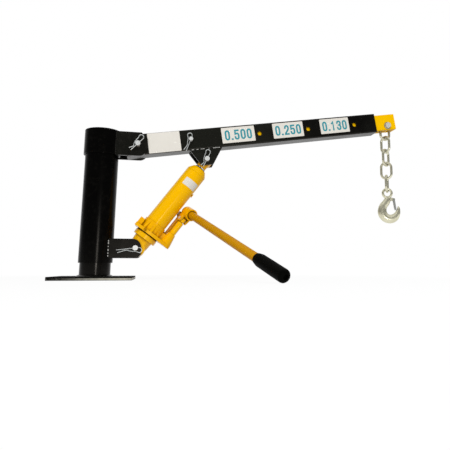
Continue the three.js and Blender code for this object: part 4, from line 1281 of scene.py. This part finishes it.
@dataclass
class Jack:
    """The jack's body, ram, pump, lever and handle.

    Attributes:
        coats: How its solids are dressed.
        place: The jack's own frame.
        reservoir: Radius of the reservoir, in millimetres.
        plate_turns: Where the small plate starts and ends round it, in degrees.
        plate_heights: Lower and upper edge of the small plate.
        plate_faces: How far its back and its face stand off the paint.
        plate_steps: Number of facets along it.
        shade_ring: Radius, lower and upper face of the dark ring over the foot's disc, which paints
            the shade in the gap there.
        shade_ring_width: Width of the ring.
        shade_ring_edge: How far its edges are cut back.
        shade_ring_sides: Number of facets round it.
    """

    coats: tuple[Coat, ...] = (
        Coat(
            YELLOW_ENAMEL, 0.4,
            ("reservoir_tube", "reservoir_cap", "filler_plug", "pump_cylinder", "pump_plunger"),
        ),
        Coat(CAST_ENAMEL, 1.0, ("jack_base", "pump_link", "handle_socket", "ram_head")),
        Coat(FOOT_ENAMEL, 1.6, ("jack_foot",)),
        Coat(STEEL, 0.3, ("pressure_cylinder", "ram_piston")),
        Coat(CHROME, 0.4, ("ram_rod",)),
        Coat(RUBBER, 0.2, ("wiper_seal", "piston_seal")),
        Coat(HANDLE_ENAMEL, 0.3, ("handle_rod", "release_valve")),
        Coat(RUBBER, 0.3, ("handle_grip",)),
    )
    place: Placement = field(default_factory=Axes.JACK.placement)
    reservoir: float = field(default_factory=lambda: half_width("reservoir_tube"))
    plate_turns: Pair = (-116.0, -28.0)
    plate_heights: Pair = (215.5, 238.0)
    plate_faces: Pair = (-0.1, 0.2)
    plate_steps: int = 24
    shade_ring: Point = (31.6, 45.9, 48.7)
    shade_ring_width: float = 6.0
    shade_ring_edge: float = 0.6
    shade_ring_sides: int = 72

    def small_plate(self) -> Mesh:
        """Makes the bare plate that wraps round the reservoir.

        Returns:
            The mesh.
        """
        steps = self.plate_steps
        first, last = self.plate_turns
        low, high = self.plate_heights
        back, face = self.plate_faces
        points: list[Point] = []
        for i in range(steps + 1):
            turn = math.radians(first + (last - first) * i / steps)
            for off, height in ((back, low), (back, high), (face, high), (face, low)):
                points.append((*polar(self.reservoir + off, turn), height))
        faces = skin(steps + 1, 4, closed=False) + [[0, 1, 2, 3], [4 * steps + i for i in range(4)]]
        return mesh_from("small_plate", points, faces, self.place)

    def foot_seal(self) -> Mesh:
        """Makes a dark ring between the foot's disc and the cast base, as painted shade in the gap.

        Returns:
            The mesh.
        """
        radius, low, high = self.shade_ring
        inner, edge, middle = radius - self.shade_ring_width, radius - self.shade_ring_edge, (low + high) / 2
        profile = ((inner, low), (edge, low), (radius, middle), (edge, high), (inner, high))
        turns = [2 * math.pi * step / self.shade_ring_sides for step in range(self.shade_ring_sides)]
        points = [(*polar(size, turn), height) for size, height in profile for turn in turns]
        faces = skin(len(profile), len(turns), closed=True)
        return mesh_from("foot_seal", points, faces, self.place)

    def build(self, shop: Workshop) -> None:
        """Dresses the jack and adds its plate and the dark ring of painted shade over its foot.

        Args:
            shop: Where the pieces are put together.
        """
        shop.dress(self.coats)
        shop.piece(self.small_plate(), LABEL, "jack", "yellow")
        # Painted shade: a dark ring that fills the gap between the foot's disc and the base.
        shop.piece(self.foot_seal(), RUBBER, "jack", "rubber")


@dataclass(frozen=True)
class Clip:
    """A hitch clip of spring wire: a leg through the pin, a loop and a bowed leg over the pin.

    Attributes:
        name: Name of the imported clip.
        through: Name of the pin that it goes through.
        slope: The clip's slope, in degrees.
        pin: Radius of its pin, in millimetres.
        loop_at: Place of the loop past the pin.
        length: Length of the clip.
        side: 1 or -1, the side that the bowed leg is on.
        wire: Radius of the wire.
        loop: Radius of the loop.
        flare: Height of the bowed leg's end.
        waist: Height of its narrowest place.
        clear: How far the bowed leg goes over the pin.
        shoulder: Where the straight leg ends, as a share of the way to the loop.
        bow: The bowed leg's knots after the pin, as shares of the tail.
        fall: Height of every other knot, as a share of the one that it lies beside.
        steps: Number of points along the wire, less one.
        sides: Number of facets round the wire.
    """

    name: str
    through: str
    slope: float
    pin: float
    loop_at: float
    length: float
    side: int
    wire: float = 1.15
    loop: float = 6.6
    flare: float = 7.5
    waist: float = 3.4
    clear: float = 2.4
    shoulder: float = 0.6
    bow: tuple[float, ...] = (0.28, 0.5, 0.75, 0.95)
    fall: float = 0.72
    steps: int = 84
    sides: int = 12

    def mesh(self) -> Mesh:
        """Bends the clip's wire.

        Returns:
            The mesh.
        """
        pin = middle_of(self.through)
        place = Placement((pin.x, middle_of(self.name).y, pin.z), *leaning(self.slope))
        outside = self.pin + self.clear
        tail = self.length - self.loop_at - self.loop
        heights = (outside * self.fall, self.waist, self.flare * self.fall, self.flare)
        legs = [(-tail, 0.0), (-tail / 2, 0.0), (0.0, 0.0), (self.loop_at * self.shoulder, 0.0)]
        for degrees in (-90, -45, 0, 45, 90, 135):
            x, z = polar(self.loop, math.radians(degrees))
            legs.append((self.loop_at + x, self.loop + z))
        legs += [(0.0, outside), *((-tail * share, z) for share, z in zip(self.bow, heights))]
        path = smooth_path([(x, 0.0, z * self.side) for x, z in legs], self.steps)
        return sweep(self.name + "_wire", path, lambda share: self.wire, place, self.sides)


@dataclass
class Fasteners:
    """Pins, clips, the tip bolt and its washers.

    Attributes:
        coats: How its solids are dressed.
        clips: Spring clips.
    """

    coats: tuple[Coat, ...] = (
        Coat(
            BRIGHT_ZINC, 0.5,
            (
                "boom_pivot_pin", "jack_foot_pin", "ram_pin", "lock_pin", "link_pin", "fulcrum_pin",
                "plunger_pin",
            ),
        ),
        Coat(BRIGHT_ZINC, 0.4, ("tip_bolt", "tip_nut")),
        Coat(ZINC, 0.4, ("tip_washer_near", "tip_washer_far")),
    )
    clips: tuple[Clip, ...] = (
        Clip("boom_pivot_clip", "boom_pivot_pin", 47.0, 7.0, 19.0, 52.0, 1),
        Clip("jack_foot_clip", "jack_foot_pin", 7.0, 7.0, 9.0, 64.0, -1),
        Clip("ram_clip", "ram_pin", 65.11, 7.0, 19.0, 51.0, 1),
        Clip("lock_clip", "lock_pin", 71.11, 5.9, 9.0, 54.0, 1),
    )

    def build(self, shop: Workshop) -> None:
        """Dresses the fasteners and bends the clips.

        Args:
            shop: Where the pieces are put together.
        """
        shop.dress(self.coats)
        for clip in self.clips:
            shop.piece(clip.mesh(), CLIP_ZINC, shop.body_of(clip.name), "zinc", [clip.name])


@dataclass
class ChainAndHook:
    """The chain's links, the hook and its latch.

    Attributes:
        coats: How its solids are dressed.
        yaws: Each link's turn about the vertical, in degrees.
        wire: Radius of the links' wire, in millimetres.
        bend: Radius of a link's round ends, to the middle of the wire.
        straight: Half the length of a link's straight sides.
        arc: Number of steps round a link's end.
        hook_yaw: The hook's turn about the vertical, in degrees.
        eye: Radius of the hook's eye, to the middle of its wire.
        eye_wire: Radius of the eye's wire.
        eye_top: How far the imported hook's top is over the middle of its wire.
        eye_steps: Number of steps round the eye.
        unit: Size that the hook's form is a share of.
        form: Shares for the middle line across and up, the half width and the half depth.
        form_steps: Number of steps along the hook's body.
        form_sides: Number of facets round it.
        wire_sides: Number of facets round the links' and the eye's wire.
        lug: Place of the latch's rivet, radius of the lug round it and half its thickness.
    """

    coats: tuple[Coat, ...] = (Coat(LATCH_ZINC, 0.3, ("hook_latch",)),)
    yaws: tuple[float, ...] = (5.0, -66.0, 32.0, -28.0, 54.0)
    wire: float = 3.9
    bend: float = 15.5
    straight: float = 9.9
    arc: int = 20
    hook_yaw: float = -20.0
    eye: float = 13.3
    eye_wire: float = 3.9
    eye_top: float = 3.6
    eye_steps: int = 56
    unit: float = 17.2
    form: tuple[tuple[float, float, float, float], ...] = (
        (0.08, -0.78, 0.36, 0.3), (0.02, -1.15, 0.58, 0.36), (-0.3, -1.74, 0.65, 0.42),
        (-0.82, -2.43, 0.72, 0.48), (-1.03, -3.18, 0.79, 0.52), (-0.9, -3.89, 0.83, 0.55),
        (-0.4, -4.5, 0.82, 0.56), (0.35, -4.72, 0.8, 0.53), (1.07, -4.49, 0.73, 0.47),
        (1.57, -3.94, 0.56, 0.4), (1.82, -3.3, 0.38, 0.33), (1.9, -2.78, 0.24, 0.26),
        (1.87, -2.45, 0.1, 0.14),
    )
    form_steps: int = 72
    form_sides: int = 28
    wire_sides: int = 20
    lug: tuple[float, float, float, float] = (18.92, -20.3, 4.3, 2.6)

    @staticmethod
    def turned(middle: Point, yaw: float) -> Placement:
        """Returns a frame at a place in millimetres, turned about the vertical by degrees."""
        return Placement(middle, (*polar(1.0, math.radians(yaw)), 0.0))

    def link(self, name: str, middle: Point, yaw: float) -> Mesh:
        """Returns one link of round wire.

        Args:
            name: Name of the mesh.
            middle: The link's middle, in millimetres.
            yaw: Its turn about the vertical, in degrees.

        Returns:
            The mesh.
        """
        path = []
        for up, start in ((1, 0.0), (-1, math.pi)):
            for i in range(self.arc + 1):
                x, z = polar(self.bend, start + math.pi * i / self.arc)
                path.append(Vector((x, 0, up * self.straight + z)))
        place = self.turned(middle, yaw)
        return sweep(name, path, lambda share: self.wire, place, self.wire_sides, loop=True)

    def hook(self, middle: Point) -> Mesh:
        """Returns the forged hook: eye, body and the latch's lug.

        Args:
            middle: Middle of the eye, in millimetres.

        Returns:
            The mesh.
        """
        place = self.turned(middle, self.hook_yaw)
        turns = [polar(self.eye, 2 * math.pi * i / self.eye_steps) for i in range(self.eye_steps)]
        ring = [Vector((x, 0, z)) for x, z in turns]
        steps = self.form_steps
        path = smooth_path([(x * self.unit, 0.0, z * self.unit) for x, z, _, _ in self.form], steps)
        sizes = smooth_path([(width, depth, 0.0) for _, _, width, depth in self.form], steps)

        def width_at(share: float) -> float:
            """Returns half the body's width at a share of its length."""
            return sizes[round(share * steps)].x * self.unit

        def depth_share(share: float) -> float:
            """Returns the body's depth as a share of its width."""
            size = sizes[round(share * steps)]
            return size.y / size.x

        x, z, radius, half = self.lug
        outline = [(0.0, z + 2 * radius), (0.0, z - radius)]
        for degrees in range(-90, 91, 15):
            out = polar(radius, math.radians(degrees))
            outline.append((x + out[0], z + out[1]))
        parts = (
            sweep("hook_eye", ring, lambda share: self.eye_wire, place, self.wire_sides, loop=True),
            sweep("hook_bend", path, width_at, place, self.form_sides, flat=depth_share),
            prism("hook_lug", outline, (-half, half), place),
        )
        return joined("forged_hook", parts)

    def build(self, shop: Workshop) -> None:
        """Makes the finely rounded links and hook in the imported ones' places.

        Args:
            shop: Where the pieces are put together.
        """
        for number, yaw in enumerate(self.yaws, 1):
            packed = f"chain_link_{number}"
            mesh = self.link(f"round_link_{number}", tuple(middle_of(packed)), yaw)
            shop.piece(mesh, ZINC, shop.body_of(packed), "zinc", [packed])
        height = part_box("hook")[1].z / MM - self.eye - self.eye_top
        mesh = self.hook((middle_of(f"chain_link_{len(self.yaws)}").x, 0.0, height))
        shop.piece(mesh, FORGED_ZINC, shop.body_of("hook"), "zinc", ["hook"])
        shop.dress(self.coats)


@dataclass(frozen=True)
class Lamp:
    """A soft rectangular lamp.

    Attributes:
        name: Its name.
        place: Its place, in metres.
        target: The place that it faces.
        size: Its width and height, in metres.
        power: Its power in watts.
        mirrored: Whether glossy surfaces show it.
    """

    name: str
    place: Point
    target: Point
    size: Pair
    power: float
    mirrored: bool = False

    def build(self) -> None:
        """Puts the lamp into the scene."""
        light = bpy.data.lights.new(self.name, "AREA")
        light.shape = "RECTANGLE"
        light.size, light.size_y = self.size
        light.energy = self.power
        holder = bpy.data.objects.new(self.name, light)
        holder.location = self.place
        aim = Vector(self.target) - Vector(self.place)
        holder.rotation_euler = aim.to_track_quat("-Z", "Y").to_euler()
        holder.visible_camera = False
        holder.visible_glossy = self.mirrored
        bpy.context.scene.collection.objects.link(holder)


@dataclass
class Studio:
    """Camera, lamps, floor and white surroundings.

    Attributes:
        eye: The camera's place, in millimetres.
        yaw: Its turn to the right of +Y, in degrees.
        pitch: Its tilt above the horizon, in degrees.
        focal_pixels: Focal length in pixels of the square frame.
        centre: Pixel that the camera's axis goes through.
        sensor: Sensor width in millimetres.
        reach: Nearest and farthest distance that the camera shows, in metres.
        fill: How brightly the surroundings light the crane.
        room: Brightness of the room on the camera's side, as reflections show it.
        room_turn: Y between which the room turns into the white behind the crane.
        above: Brightness of the ceiling, as reflections show it.
        above_turn: Z between which the ceiling comes in.
        floor_half: Half the floor's side, in metres.
        floor_height: The floor's height, in metres.
        floor_color: The floor's grey under the lamps.
        floor_glow: Strength of its plain white.
        floor_share: How much of the floor near the crane is plain white and not lit by the lamps.
        floor_near: How far out, in metres, that share holds.
        floor_far: Where the floor is all plain white.
        lamps: The lamps.
    """

    eye: Point = (161.06, -1355.55, 27.78)
    yaw: float = 13.43
    pitch: float = 9.95
    focal_pixels: float = 476.59
    centre: Pair = (273.02, 185.46)
    sensor: float = 36.0
    reach: Pair = (0.05, 50.0)
    fill: float = 0.39
    room: float = 0.13
    room_turn: Pair = (0.2, 0.9)
    above: float = 0.8
    above_turn: Pair = (0.35, 0.6)
    floor_half: float = 12.0
    floor_height: float = -0.0004
    floor_color: Point = (0.8, 0.8, 0.8)
    floor_glow: float = 1.012
    floor_share: float = 0.93
    floor_near: float = 0.5
    floor_far: float = 1.6
    lamps: tuple[Lamp, ...] = (
        Lamp("key", (-0.3, -2.6, 2.1), (0.4, 0.0, 0.3), (2.2, 1.8), 59.0),
        Lamp("low_strip", (0.4, -1.7, 0.125), (0.12, 0.0, 0.1), (0.2, 0.24), 2.6, mirrored=True),
    )

    def camera(self) -> None:
        """Makes the camera at the photograph's viewing angle."""
        lens = bpy.data.cameras.new("camera")
        lens.sensor_width = self.sensor
        lens.lens = self.focal_pixels / FRAME_PIXELS * self.sensor
        lens.shift_x = (FRAME_PIXELS / 2 - self.centre[0]) / FRAME_PIXELS
        lens.shift_y = (self.centre[1] - FRAME_PIXELS / 2) / FRAME_PIXELS
        lens.clip_start, lens.clip_end = self.reach
        holder = bpy.data.objects.new("camera", lens)
        holder.location = Vector(self.eye) * MM
        holder.rotation_euler = (math.radians(90 + self.pitch), 0, -math.radians(self.yaw))
        bpy.context.scene.collection.objects.link(holder)
        bpy.context.scene.camera = holder

    def floor(self) -> None:
        """Makes a white floor under the base plate that keeps a soft shadow."""
        half = self.floor_half
        mesh = bpy.data.meshes.new("floor")
        corners = ((-half, -half), (half, -half), (half, half), (-half, half))
        mesh.from_pydata([(x, y, self.floor_height) for x, y in corners], [], [(0, 1, 2, 3)])
        holder = bpy.data.objects.new("floor", mesh)
        bpy.context.scene.collection.objects.link(holder)
        material = bpy.data.materials.new("white_floor")
        material.use_nodes = True
        material.cycles.emission_sampling = "NONE"
        net = Net(material.node_tree)
        shader = net.tree.nodes["Principled BSDF"]
        matt = {"Base Color": (*self.floor_color, 1), "Roughness": 0.9, "Specular IOR Level": 0.0}
        net.feed(shader, matt)
        glow = net.node("ShaderNodeEmission", {"Strength": self.floor_glow})
        path = net.node("ShaderNodeLightPath").outputs
        place = net.node("ShaderNodeTexCoord").outputs["Object"]
        away = net.node("ShaderNodeVectorMath", {0: place}, operation="LENGTH").outputs["Value"]
        plain = net.ramp(away, self.floor_near, self.floor_far, start=self.floor_share)
        seen = net.math("MAXIMUM", path["Is Camera Ray"], path["Is Glossy Ray"])
        share = net.math("MULTIPLY", seen, plain)
        mix = net.node("ShaderNodeMixShader", {0: share, 1: shader.outputs[0], 2: glow.outputs[0]})
        net.feed(net.tree.nodes["Material Output"], {"Surface": mix.outputs[0]})
        mesh.materials.append(material)

    def surroundings(self) -> None:
        """Makes surroundings that look white, and a dimmer room for reflections."""
        world = bpy.data.worlds.new("studio")
        bpy.context.scene.world = world
        world.use_nodes = True
        world.cycles.sampling_method = "NONE"
        net = Net(world.node_tree)
        path = net.node("ShaderNodeLightPath").outputs
        place = net.node("ShaderNodeTexCoord").outputs["Generated"]
        split = net.node("ShaderNodeSeparateXYZ", {0: place}).outputs
        room = net.ramp(split["Y"], *self.room_turn, start=self.room)
        above = net.ramp(split["Z"], *self.above_turn, end=self.above)
        mirrored = net.math("MAXIMUM", path["Is Glossy Ray"], path["Is Transmission Ray"])
        reflected = net.ramp(mirrored, start=self.fill, end=net.math("MAXIMUM", room, above))
        level = net.ramp(path["Is Camera Ray"], start=reflected)
        net.feed(net.tree.nodes["Background"], {"Color": (1, 1, 1, 1), "Strength": level})

    def build(self) -> None:
        """Builds the whole studio."""
        self.camera()
        for lamp in self.lamps:
            lamp.build()
        self.floor()
        self.surroundings()
        bpy.context.scene.view_settings.view_transform = "Standard"


def main() -> None:
    """Builds the scene in order."""
    logging.basicConfig(level=logging.INFO, format="%(name)s: %(message)s")
    for leftover in list(bpy.data.objects):
        bpy.data.objects.remove(leftover)
    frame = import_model()
    Studio().build()
    shop = Workshop(frame["nodes"])
    for assembly in (Mast(), Boom(), Jack(), Fasteners(), ChainAndHook(), WeldBeads()):
        assembly.build(shop)
        LOG.info("%s is built", type(assembly).__name__)
    LOG.info("%d pieces made", shop.count)


if __name__ == "__main__":
    main()
